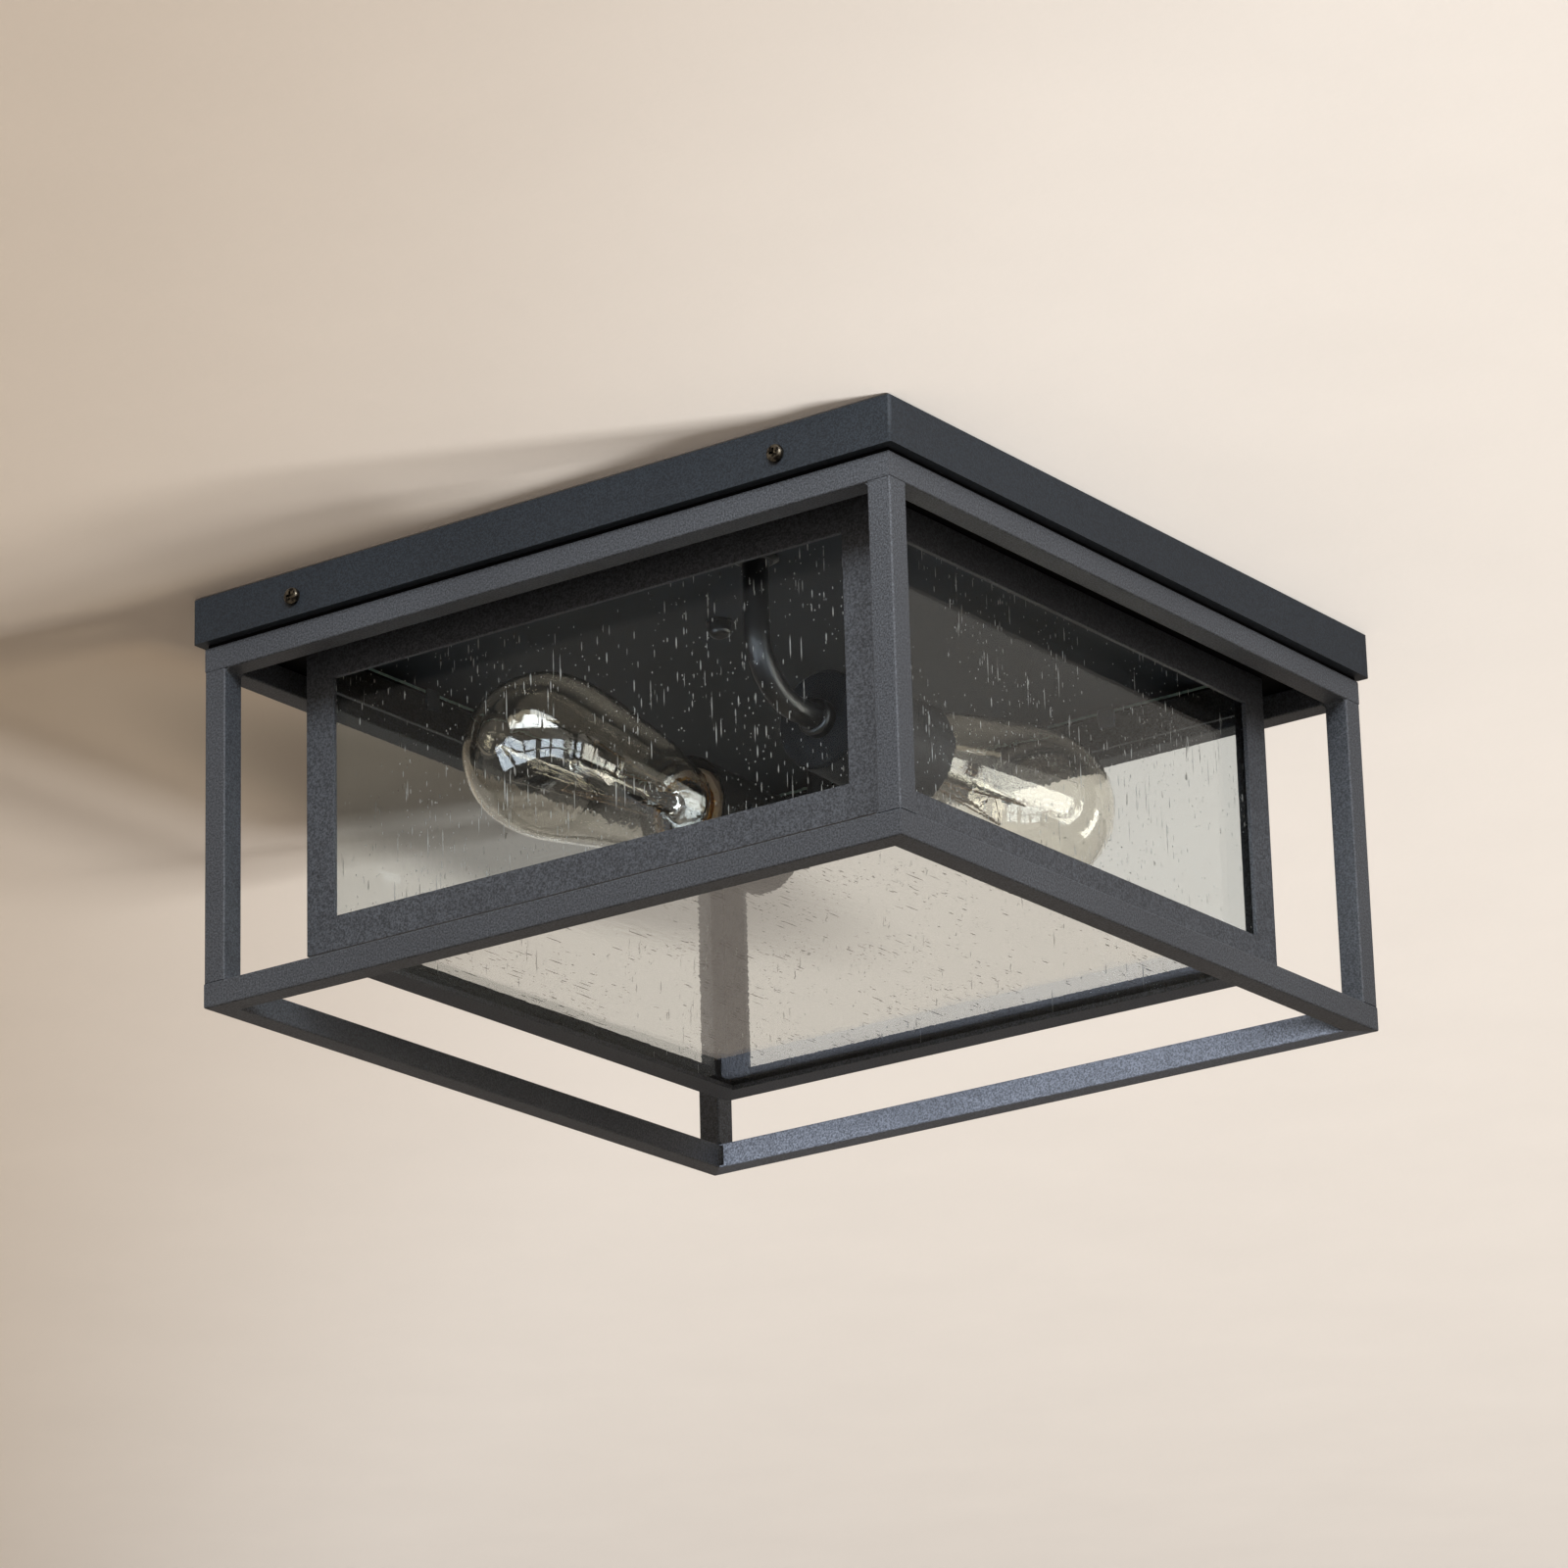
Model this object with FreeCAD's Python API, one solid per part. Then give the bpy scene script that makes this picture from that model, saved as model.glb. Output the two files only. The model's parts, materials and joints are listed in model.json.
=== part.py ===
"""Square flush-mount porch ceiling lantern with an open outer cage and an inner glass lantern.

Origin: the middle of the ceiling face, where the tray's lip meets the ceiling.
+Z points up into the ceiling, so the lantern lies below Z = 0. +X and +Y run along its sides.
The tray, the straps and the lampholders stay on the ceiling. The skirt, the cage and the
glass lantern come down together when the side screws are loosened. All sizes are in mm.
"""
import FreeCAD
import Part
import math
import os

V = FreeCAD.Vector
X, Y, Z = V(1, 0, 0), V(0, 1, 0), V(0, 0, 1)

# ---- Skirt and top plate -------------------------------------------------------------
SKIRT_PROUD = 3.3             # skirt's face in front of the cage's, all round
SKIRT_DROP = 18.5             # ceiling to the skirt's foot
SKIRT_CEILING_GAP = 0.4       # the skirt stops just short of the ceiling
SKIRT_SHEET = 1.5
SKIRT_LIP = 12.0              # inward lip that lies on the top plate
SKIRT_CORNER = 1.2            # outside radius of the folded corners
PLATE_SHEET = 1.5
PLATE_INSET = 0.8             # plate edge behind the cage's outer face
PLATE_MOUTH_LAP = 1.5         # how far the plate covers the inner frame's top edges

# ---- Outer cage of square tube -------------------------------------------------------
CAGE_PROUD = 27.7             # cage's face in front of the inner frame's, all round
CAGE_FOOT = 165.0             # ceiling to the cage's foot
BAR = 10.0
BAR_WALL = 1.2
BAR_EDGE = 0.7                # rounded long edges of the tube
WELD_RADIUS = 2.2             # dressed weld in each inside corner

# ---- Inner lantern frame -------------------------------------------------------------
LANTERN_WIDTH = 268.0         # outside of the inner frame, both ways
LANTERN_FOOT = 143.5          # ceiling to the inner frame's foot
FRAME_FACE = 13.5             # visible width of rails and corner angles
FRAME_SHEET = 2.0
LEDGE = 10.0                  # inward leg that carries the bottom pane

# ---- Glass ---------------------------------------------------------------------------
PANE = 3.0
BOTTOM_PANE_PLAY = 0.4        # round the bottom pane's edges
PANE_JOINT = 0.3              # between neighbouring side panes
PANE_TOP_PLAY = 0.2           # side pane's top edge below the plate's top face
PANE_EDGE_CHAMFER = 0.3

# ---- Pane clips ----------------------------------------------------------------------
CLIP_OFFSET = 62.0            # from the middle of each side
CLIP_WIDTH = 8.0
CLIP_SHEET = 0.8
CLIP_FOOT = 13.0              # length lying on the plate, from the frame outwards
CLIP_DROP = 8.0               # length bent down inside the pane

# ---- Tray, straps and their fixings --------------------------------------------------
TRAY_DEPTH = 14.5
TRAY_SHEET = 1.2
TRAY_LIP = 9.0                # lip that bears on the ceiling
TRAY_SIDE_GAP = 5.0           # between the tray's wall and the skirt, room for the weld nuts
STRAP_WIDTH = 20.0
BOX_STRAP_END = 5.55          # strap beyond its slots
STUD_STRAP_END = 11.55        # strap beyond its studs
STRAP_SHEET = 2.0
BOX_SCREW_SPACING = 88.9      # standard round ceiling box
BOX_SLOT_WIDTH = 4.6
BOX_SLOT_LENGTH = 12.0
STUD_SPACING = 88.9
STUD_RADIUS = 2.0
STUD_CLEARANCE = 0.3
STUD_SHORT = 2.0              # stud's end below the cap nut's crown
NUT_M4_FLATS = 7.0
NUT_M4_HEIGHT = 3.2
CAP_NUT_RADIUS = 4.6
CAP_NUT_HEIGHT = 6.5
CAP_NUT_COLLAR = 5.6
CAP_NUT_COLLAR_HEIGHT = 1.0
NIPPLE_RADIUS = 5.0
NIPPLE_BORE = 3.5
NIPPLE_LENGTH = 11.0
NUT_M10_FLATS = 14.0
NUT_M10_HEIGHT = 3.0
GROUND_SCREW_RADIUS = 2.4
GROUND_SCREW_FLANGE = 4.8
GROUND_SCREW_FLANGE_HEIGHT = 0.8
GROUND_SCREW_FLATS = 7.7
GROUND_SCREW_HEIGHT = 2.8
GROUND_SCREW_OFFSET = 25.0
GROUND_SCREW_SHORT = 0.5      # screw's end below the ceiling

# ---- Side screws that clamp the skirt to the tray ------------------------------------
SIDE_SCREW_SPACING = 229.0
SIDE_SCREW_DROP = 10.7
SIDE_SCREW_RADIUS = 1.95
SIDE_HEAD_RADIUS = 3.4
SIDE_HEAD_HEIGHT = 2.1
SIDE_SCREW_HOLE = 2.05        # tapped hole in skirt and nut, radius
SCREW_TIP_GAP = 0.3
RECESS_WIDTH = 1.0            # cross recess in the head
RECESS_LENGTH = 3.6
RECESS_DEPTH = 1.2

# ---- Lampholder arms -----------------------------------------------------------------
LAMP_OFFSET = 52.0            # lamp axes either side of the middle
LAMP_DROP = 68.5              # ceiling to the lamp axes
ARM_RADIUS = 5.0
ARM_WALL = 1.0
ARM_BEND = 25.0
ARM_REACH = 14.0              # straight length between the bend and the cup
ARM_INTO_TRAY = 6.0           # threaded end above the tray's face
ARM_INTO_CUP = 6.0
ARM_WASHER_RADIUS = 9.0
ARM_WASHER = 2.0
COLLAR_RADIUS = 7.5
COLLAR_LENGTH = 5.0
FIT = 0.1                     # radial play of a tube in its hole

# ---- Socket cup, lampholder and lamp, along the lamp axis from the cup's back --------
CUP_LENGTH = 55.0
CUP_BACK_RADIUS = 19.5
CUP_RIM_RADIUS = 21.5
CUP_WALL = 1.2
CUP_EDGE = 1.0
HOLDER_RADIUS = 17.6
HOLDER_LENGTH = 50.8
HOLDER_REAR_BORE = 9.0
HOLDER_REAR_DEPTH = 16.8
HOLDER_WALL = 6.0             # floor between the two bores
HOLDER_EDGE = 1.0             # chamfer of the holder's front
THREAD_PITCH = 3.629
THREAD_DEPTH = 0.75
LAMP_THREAD_RADIUS = 13.1
THREAD_GAP = 0.3              # between the lamp's thread and the holder's shell
SHELL_WALL = 0.4
SHELL_TURNS = 4
SHELL_FLOOR_GAP = 3.0         # shell's floor to the centre contact
SPRING_HEIGHT = 4.0           # holder's floor to the lamp's contact
SPRING_FOOT = 0.6
SPRING_TAPER = 1.5
LAMP_TURNS = 5
LAMP_LENGTH = 146.0
LAMP_BASE_LENGTH = 27.0
LAMP_RADIUS = 32.0
LAMP_DOME = 34.0              # from the widest place to the tip
SHOULDER_RADIUS = 18.0        # glass where its shoulder meets the long cone
SHOULDER_HEIGHT = 6.0
LAMP_TIP_GAP = 8.0            # lamp's tip to the side pane
NECK_DEPTH = 6.0              # glass neck inside the base
NECK_STRAIGHT = 2.0
GLASS_WALL = 0.9
BASE_WALL = 0.5
BASE_LEAD_IN = 2.5            # how much the base narrows below its first thread
BASE_LEAD_HEIGHT = 2.2
CONTACT_GAP = 0.3
CONTACT_RADIUS = 4.5
CONTACT_HEIGHT = 1.6
THREAD_LEAD = 6.0             # lamp's contact to the first thread
STEM_DEPTH = 5.0              # stem's foot below the glass and base joint
STEM_FOOT = 1.2
STEM_FLARE_HEIGHT = 14.0      # the stem's flare in the neck
STEM_PINCH_RADIUS = 4.0
STEM_PINCH_HEIGHT = 12.0
STEM_ROD_RADIUS = 1.6
STEM_ROD_LENGTH = 44.0
STEM_BUTTON_RADIUS = 2.6
STEM_BUTTON_TAPER = 1.5
STEM_BUTTON_HEIGHT = 2.0
FILAMENT_RADIUS = 0.35
FILAMENT_STRANDS = 10
FILAMENT_LOW_RADIUS = 7.5
FILAMENT_HIGH_RADIUS = 12.0
FILAMENT_LENGTH = 45.0

# ---- Derived places ------------------------------------------------------------------
HALF_LANTERN = LANTERN_WIDTH / 2
HALF_FRAME_IN = HALF_LANTERN - FRAME_SHEET
HALF_CAGE = HALF_LANTERN + CAGE_PROUD
HALF_SKIRT = HALF_CAGE + SKIRT_PROUD
HALF_SKIRT_IN = HALF_SKIRT - SKIRT_SHEET
HALF_TRAY = HALF_SKIRT_IN - TRAY_SIDE_GAP
HALF_MOUTH = HALF_LANTERN - PLATE_MOUTH_LAP
PLATE_TOP = -SKIRT_DROP
PLATE_FOOT = PLATE_TOP - PLATE_SHEET
RING_FOOT = PLATE_FOOT - BAR
LOWER_RING_TOP = BAR - CAGE_FOOT
LEDGE_TOP = FRAME_SHEET - LANTERN_FOOT
PANE_FOOT = LEDGE_TOP + PANE
PANE_TOP = PLATE_TOP - PANE_TOP_PLAY
TRAY_FACE = -TRAY_DEPTH
TRAY_INSIDE = TRAY_SHEET - TRAY_DEPTH
HOLDER_FRONT = CUP_WALL + HOLDER_LENGTH
HOLDER_FLOOR = CUP_WALL + HOLDER_REAR_DEPTH + HOLDER_WALL
LAMP_CONTACT = HOLDER_FLOOR + SPRING_HEIGHT
LAMP_JOINT = LAMP_CONTACT + LAMP_BASE_LENGTH
LAMP_TIP_PLACE = LAMP_CONTACT + LAMP_LENGTH
CUP_BACK = LAMP_TIP_PLACE - (HALF_FRAME_IN - PANE - LAMP_TIP_GAP)
THREAD_START = LAMP_CONTACT + THREAD_LEAD
SHELL_RADIUS = LAMP_THREAD_RADIUS + THREAD_GAP
BASE_BORE = LAMP_THREAD_RADIUS - THREAD_DEPTH - BASE_WALL
NECK_RADIUS = BASE_BORE - FIT
BASE_NOSE = LAMP_THREAD_RADIUS - THREAD_DEPTH - BASE_LEAD_IN
STEM_START = LAMP_JOINT - STEM_DEPTH
STEM_ROD_START = STEM_START + STEM_FLARE_HEIGHT + STEM_PINCH_HEIGHT
ARM_Y = CUP_BACK + ARM_REACH + ARM_BEND


# ---- Small makers --------------------------------------------------------------------
def box(x0, x1, y0, y1, z0, z1):
    return Part.makeBox(x1 - x0, y1 - y0, z1 - z0, V(x0, y0, z0))


def square_ring(half_out, half_in, z0, z1):
    """A square plate or wall with a square hole, centred on the origin."""
    outer = box(-half_out, half_out, -half_out, half_out, z0, z1)
    return outer.cut(box(-half_in, half_in, -half_in, half_in, z0 - 1, z1 + 1))


def cylinder(radius, start, direction, length):
    return Part.makeCylinder(radius, length, start, direction)


def hexagon(flats, height, start, direction, bore=None):
    """A hexagon head, or a nut with a plain bore, its first face at start."""
    corner = flats / math.sqrt(3)
    points = [V(corner * math.cos(math.radians(a)), corner * math.sin(math.radians(a)), 0)
              for a in range(0, 361, 60)]
    nut = Part.Face(Part.makePolygon(points)).extrude(Z * height)
    if bore:
        nut = nut.cut(cylinder(bore, -Z, Z, height + 2))
    nut.Placement = FreeCAD.Placement(start, FreeCAD.Rotation(Z, direction))
    return nut


def turned(edges):
    """A solid of revolution about Z from a closed outline in the XZ plane."""
    outline = Part.Face(Part.Wire(Part.__sortEdges__(edges)))
    return outline.revolve(V(0, 0, 0), Z, 360)


def turned_polygon(points):
    """A solid of revolution about Z from (radius, height) corners."""
    corners = [V(r, 0, z) for r, z in points]
    return turned(Part.makePolygon(corners + corners[:1]).Edges)


def spline(points, start_tangent=None, end_tangent=None):
    curve = Part.BSplineCurve()
    places = [V(r, 0, z) for r, z in points]
    if start_tangent is None:
        curve.interpolate(Points=places)
    else:
        curve.interpolate(Points=places, InitialTangent=start_tangent, FinalTangent=end_tangent)
    return curve.toShape()


def line(a, b):
    return Part.makeLine(V(a[0], 0, a[1]), V(b[0], 0, b[1]))


def rod_chain(points, radius):
    """Round wire through a list of points, with ball corners."""
    pieces = []
    for a, b in zip(points, points[1:]):
        pieces.append(cylinder(radius, a, b - a, (b - a).Length))
        pieces.append(Part.makeSphere(radius, b))
    return pieces[0].multiFuse(pieces[1:])


def quarter_turns(shape, turns):
    """A copy turned about the vertical axis by a number of right angles."""
    copy = shape.copy()
    copy.rotate(V(0, 0, 0), Z, 90 * turns)
    return copy


def on_lamp_axis(shape, side):
    """Moves a shape drawn along +Z from the cup's back onto lamp a or lamp b."""
    place = FreeCAD.Placement(V(LAMP_OFFSET, -CUP_BACK, -LAMP_DROP), FreeCAD.Rotation(X, -90))
    copy = shape.copy()
    copy.Placement = place.multiply(shape.Placement)
    return quarter_turns(copy, 2) if side == "a" else copy


def both_sides(shape):
    return Part.makeCompound([on_lamp_axis(shape, side) for side in "ab"])


def export(shape, name):
    shape.exportStep("parts/%s.step" % name)
    solids = len(shape.Solids)
    print("%-22s %2d solid%s  %10.1f mm3" % (name, solids, " " if solids == 1 else "s", shape.Volume))


# ---- Skirt, top plate and cage -------------------------------------------------------
def side_screw_places():
    """Where the skirt's screws sit: two on the front face and two on the back face."""
    return [(side * SIDE_SCREW_SPACING / 2, face) for face in (-1, 1) for side in (-1, 1)]


def skirt():
    wall = square_ring(HALF_SKIRT, HALF_SKIRT_IN, PLATE_TOP, -SKIRT_CEILING_GAP)
    corners = [e for e in wall.Edges
               if abs(e.Vertexes[0].X) > HALF_SKIRT_IN + 0.1 and abs(e.Vertexes[0].Y) > HALF_SKIRT_IN + 0.1
               and abs(e.Vertexes[0].Z - e.Vertexes[-1].Z) > 1]
    wall = wall.makeFillet(SKIRT_CORNER, corners)
    lip = square_ring(HALF_SKIRT_IN, HALF_SKIRT_IN - SKIRT_LIP, PLATE_TOP, PLATE_TOP + SKIRT_SHEET)
    wall = wall.fuse(lip).removeSplitter()
    for x, face in side_screw_places():
        start = V(x, face * (HALF_SKIRT_IN - 1), -SIDE_SCREW_DROP)
        wall = wall.cut(cylinder(SIDE_SCREW_HOLE, start, Y * face, SKIRT_SHEET + 2))
    return wall


def top_plate():
    return square_ring(HALF_CAGE - PLATE_INSET, HALF_MOUTH, PLATE_FOOT, PLATE_TOP)


def tube(length):
    """Square tube along X, centred, its outside faces at zero and one bar width."""
    bar = box(-length / 2, length / 2, 0, BAR, 0, BAR)
    bar = bar.makeFillet(BAR_EDGE, [e for e in bar.Edges if abs(e.Length - length) < 0.01])
    hollow = box(-length, length, BAR_WALL, BAR - BAR_WALL, BAR_WALL, BAR - BAR_WALL)
    return bar.cut(hollow)


def ring_bar(z):
    """One front bar of a square ring, mitred at both ends."""
    bar = tube(2 * HALF_CAGE)
    bar.translate(V(0, -HALF_CAGE, z))
    reach = HALF_CAGE + 1
    corners = [V(-reach, -reach, z - 1), V(reach, -reach, z - 1), V(0, 0, z - 1)]
    wedge = Part.Face(Part.makePolygon(corners + corners[:1]))
    return bar.common(wedge.extrude(Z * (BAR + 2)))


def post():
    """The post at the front left corner, between the two rings."""
    length = RING_FOOT - LOWER_RING_TOP
    bar = tube(length)
    bar.rotate(V(0, 0, 0), Y, -90)
    bar.translate(V(BAR - HALF_CAGE, -HALF_CAGE, (RING_FOOT + LOWER_RING_TOP) / 2))
    return bar


def corner_bead(corner, inward_a, inward_b, length):
    """A hollow-ground weld in the corner between two bars, its length across them."""
    r = WELD_RADIUS
    across = inward_a.cross(inward_b).normalize()
    a, b = corner + inward_a * r, corner + inward_b * r
    centre = corner + (inward_a + inward_b) * r
    middle = centre - (inward_a + inward_b).normalize() * r
    edges = [Part.makeLine(corner, a), Part.Arc(a, middle, b).toShape(), Part.makeLine(b, corner)]
    bead = Part.Face(Part.Wire(edges)).extrude(across * length)
    return bead


def cage_welds():
    """The dressed corners of each side window and of the two open rings."""
    beads = []
    inner = HALF_CAGE - BAR
    depth = BAR - 2 * BAR_EDGE
    for turn in range(4):
        for side in (-1, 1):
            for z, up in ((RING_FOOT, -1), (LOWER_RING_TOP, 1)):
                start = -HALF_CAGE + BAR_EDGE if side * up > 0 else -inner - BAR_EDGE
                bead = corner_bead(V(side * inner, start, z), X * -side, Z * up, depth)
                beads.append(quarter_turns(bead, turn))
        for z in (RING_FOOT, -CAGE_FOOT):
            bead = corner_bead(V(-inner, -inner, z + BAR_EDGE), X, Y, depth)
            beads.append(quarter_turns(bead, turn))
    return Part.makeCompound(beads)


# ---- Inner lantern -------------------------------------------------------------------
def corner_angle():
    """The front left corner angle of the inner frame."""
    outer = box(-HALF_LANTERN, -HALF_LANTERN + FRAME_FACE, -HALF_LANTERN, -HALF_LANTERN + FRAME_FACE,
                -LANTERN_FOOT, PLATE_FOOT)
    hollow = box(-HALF_FRAME_IN, 0, -HALF_FRAME_IN, 0, -CAGE_FOOT, 0)
    return outer.cut(hollow)


def top_rail():
    half = HALF_LANTERN - FRAME_FACE
    return box(-half, half, -HALF_LANTERN, -HALF_FRAME_IN, PLATE_FOOT - FRAME_FACE, PLATE_FOOT)


def bottom_rail():
    """The front bottom rail: its face between the corner angles and its mitred ledge."""
    half = HALF_LANTERN - FRAME_FACE
    face = box(-half, half, -HALF_LANTERN, -HALF_FRAME_IN, -LANTERN_FOOT, FRAME_FACE - LANTERN_FOOT)
    out, back = HALF_FRAME_IN, HALF_FRAME_IN - LEDGE
    places = [(-out, -out), (out, -out), (back, -back), (-back, -back)]
    corners = [V(x, y, -LANTERN_FOOT) for x, y in places]
    ledge = Part.Face(Part.makePolygon(corners + corners[:1])).extrude(Z * FRAME_SHEET)
    return face.fuse(ledge).removeSplitter()


def bottom_pane():
    half = HALF_FRAME_IN - BOTTOM_PANE_PLAY
    pane = box(-half, half, -half, half, LEDGE_TOP, PANE_FOOT)
    return pane.makeChamfer(PANE_EDGE_CHAMFER, pane.Edges)


def side_pane(half):
    """A front pane that stands on the bottom pane's edge against the frame."""
    pane = box(-half, half, -HALF_FRAME_IN, PANE - HALF_FRAME_IN, PANE_FOOT, PANE_TOP)
    return pane.makeChamfer(PANE_EDGE_CHAMFER, pane.Edges)


def pane_clip(x):
    """A front clip: a foot welded to the plate, a bridge over the pane and a tongue behind it."""
    inner = -HALF_FRAME_IN + PANE
    low, high = x - CLIP_WIDTH / 2, x + CLIP_WIDTH / 2
    strap = box(low, high, -HALF_LANTERN - CLIP_FOOT, inner + CLIP_SHEET, PLATE_TOP, PLATE_TOP + CLIP_SHEET)
    tongue = box(low, high, inner, inner + CLIP_SHEET, PLATE_TOP - CLIP_DROP, PLATE_TOP)
    return strap.fuse(tongue).removeSplitter()


# ---- Side screws ---------------------------------------------------------------------
def side_screw(x, face):
    """A pan-head screw with a cross recess, in from outside until it nearly meets the tray."""
    out = Y * face
    seat = V(x, face * HALF_SKIRT, -SIDE_SCREW_DROP)
    length = HALF_SKIRT - HALF_TRAY - SCREW_TIP_GAP
    shank = cylinder(SIDE_SCREW_RADIUS, seat, -out, length)
    head = cylinder(SIDE_HEAD_RADIUS, seat, out, SIDE_HEAD_HEIGHT)
    crown = [e for e in head.Edges if abs(abs(e.Vertexes[0].Y) - HALF_SKIRT - SIDE_HEAD_HEIGHT) < 0.01
             and e.Length > 10]
    head = head.makeFillet(SIDE_HEAD_HEIGHT / 2, crown)
    bottom = HALF_SKIRT + SIDE_HEAD_HEIGHT - RECESS_DEPTH
    y0, y1 = sorted((face * bottom, face * (bottom + 2 * RECESS_DEPTH)))
    long, short = RECESS_LENGTH / 2, RECESS_WIDTH / 2
    z = -SIDE_SCREW_DROP
    recess = box(x - long, x + long, y0, y1, z - short, z + short)
    recess = recess.fuse(box(x - short, x + short, y0, y1, z - long, z + long))
    return shank.fuse(head).cut(recess)


def weld_nut(x, face):
    """A square nut welded inside the skirt behind each side screw."""
    half = NUT_M4_FLATS / 2
    y0, y1 = sorted((face * HALF_SKIRT_IN, face * (HALF_SKIRT_IN - NUT_M4_HEIGHT)))
    nut = box(x - half, x + half, y0, y1, -SIDE_SCREW_DROP - half, -SIDE_SCREW_DROP + half)
    start = V(x, face * HALF_SKIRT, -SIDE_SCREW_DROP)
    return nut.cut(cylinder(SIDE_SCREW_HOLE, start, Y * -face, 2 * NUT_M4_HEIGHT + 2))


# ---- Tray and straps -----------------------------------------------------------------
def stud_places():
    return [V(0, side * STUD_SPACING / 2, 0) for side in (-1, 1)]


def arm_places():
    return [V(LAMP_OFFSET, -ARM_Y, 0), V(-LAMP_OFFSET, ARM_Y, 0)]


def tray():
    """A shallow tray, face down, whose walls turn inwards against the ceiling."""
    inside = HALF_TRAY - TRAY_SHEET
    shell = box(-HALF_TRAY, HALF_TRAY, -HALF_TRAY, HALF_TRAY, TRAY_FACE, 0)
    shell = shell.cut(box(-inside, inside, -inside, inside, TRAY_INSIDE, -TRAY_SHEET))
    opening = HALF_TRAY - TRAY_LIP
    shell = shell.cut(box(-opening, opening, -opening, opening, -TRAY_SHEET - 1, 1))
    holes = [(place, STUD_RADIUS + STUD_CLEARANCE) for place in stud_places()]
    holes += [(place, ARM_RADIUS + FIT) for place in arm_places()]
    for place, radius in holes:
        shell = shell.cut(cylinder(radius, place + Z * (TRAY_FACE - 1), Z, TRAY_SHEET + 2))
    return shell


def slot(x):
    """A slot along X through the box strap, centred at x."""
    half = (BOX_SLOT_LENGTH - BOX_SLOT_WIDTH) / 2
    cut = box(x - half, x + half, -BOX_SLOT_WIDTH / 2, BOX_SLOT_WIDTH / 2, -STRAP_SHEET - 1, 1)
    for end in (-half, half):
        cut = cut.fuse(cylinder(BOX_SLOT_WIDTH / 2, V(x + end, 0, -STRAP_SHEET - 1), Z, STRAP_SHEET + 2))
    return cut


def strap_blank(half_x, half_y, top):
    blank = box(-half_x, half_x, -half_y, half_y, top - STRAP_SHEET, top)
    upright = [e for e in blank.Edges if abs(e.Vertexes[0].Z - e.Vertexes[-1].Z) > 1]
    blank = blank.makeFillet(STRAP_WIDTH / 4, upright)
    return blank.cut(cylinder(NIPPLE_RADIUS, V(0, 0, top - STRAP_SHEET - 1), Z, STRAP_SHEET + 2))


def box_strap():
    """The strap that two screws hold to the ceiling box."""
    half = (BOX_SCREW_SPACING + BOX_SLOT_LENGTH) / 2 + BOX_STRAP_END
    strap = strap_blank(half, STRAP_WIDTH / 2, 0)
    for side in (-1, 1):
        strap = strap.cut(slot(side * BOX_SCREW_SPACING / 2))
    return strap


def stud_strap():
    """The strap under it, turned a right angle, that carries the two studs."""
    top = -STRAP_SHEET
    half = STUD_SPACING / 2 + STUD_STRAP_END
    strap = strap_blank(STRAP_WIDTH / 2, half, top)
    for place in stud_places():
        strap = strap.cut(cylinder(STUD_RADIUS, place + Z * (top - STRAP_SHEET - 1), Z, STRAP_SHEET + 2))
    ground = V(0, GROUND_SCREW_OFFSET, top - STRAP_SHEET - 1)
    return strap.cut(cylinder(GROUND_SCREW_RADIUS, ground, Z, STRAP_SHEET + 2))


def stud(place):
    length = TRAY_DEPTH + CAP_NUT_HEIGHT - STUD_SHORT - STRAP_SHEET
    shaft = cylinder(STUD_RADIUS, place - Z * STRAP_SHEET, -Z, length)
    ends = [e for e in shaft.Edges if e.Closed]
    return shaft.makeChamfer(STUD_RADIUS / 5, ends)


def cap_nut(place):
    """A domed nut with a collar that draws the tray up to the ceiling."""
    top = place + Z * TRAY_FACE
    rim = cylinder(CAP_NUT_COLLAR, top, -Z, CAP_NUT_COLLAR_HEIGHT)
    dome_height = CAP_NUT_HEIGHT - CAP_NUT_COLLAR_HEIGHT
    body = cylinder(CAP_NUT_RADIUS, top - Z * CAP_NUT_COLLAR_HEIGHT, -Z, dome_height)
    crown = [e for e in body.Edges if e.Closed and abs(e.Vertexes[0].Z - top.z + CAP_NUT_HEIGHT) < 0.01]
    body = body.makeFillet(dome_height / 2, crown)
    bore = cylinder(STUD_RADIUS, top + Z, -Z, CAP_NUT_HEIGHT)
    return rim.fuse(body).cut(bore)


def nipple():
    pipe = cylinder(NIPPLE_RADIUS, V(0, 0, 0), -Z, NIPPLE_LENGTH)
    return pipe.cut(cylinder(NIPPLE_BORE, Z, -Z, NIPPLE_LENGTH + 2))


def ground_screw():
    seat = V(0, GROUND_SCREW_OFFSET, -2 * STRAP_SHEET)
    shank = cylinder(GROUND_SCREW_RADIUS, seat, Z, 2 * STRAP_SHEET - GROUND_SCREW_SHORT)
    flange = cylinder(GROUND_SCREW_FLANGE, seat, -Z, GROUND_SCREW_FLANGE_HEIGHT)
    head = hexagon(GROUND_SCREW_FLATS, GROUND_SCREW_HEIGHT, seat - Z * GROUND_SCREW_FLANGE_HEIGHT, -Z)
    return shank.fuse([flange, head]).removeSplitter()


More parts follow.
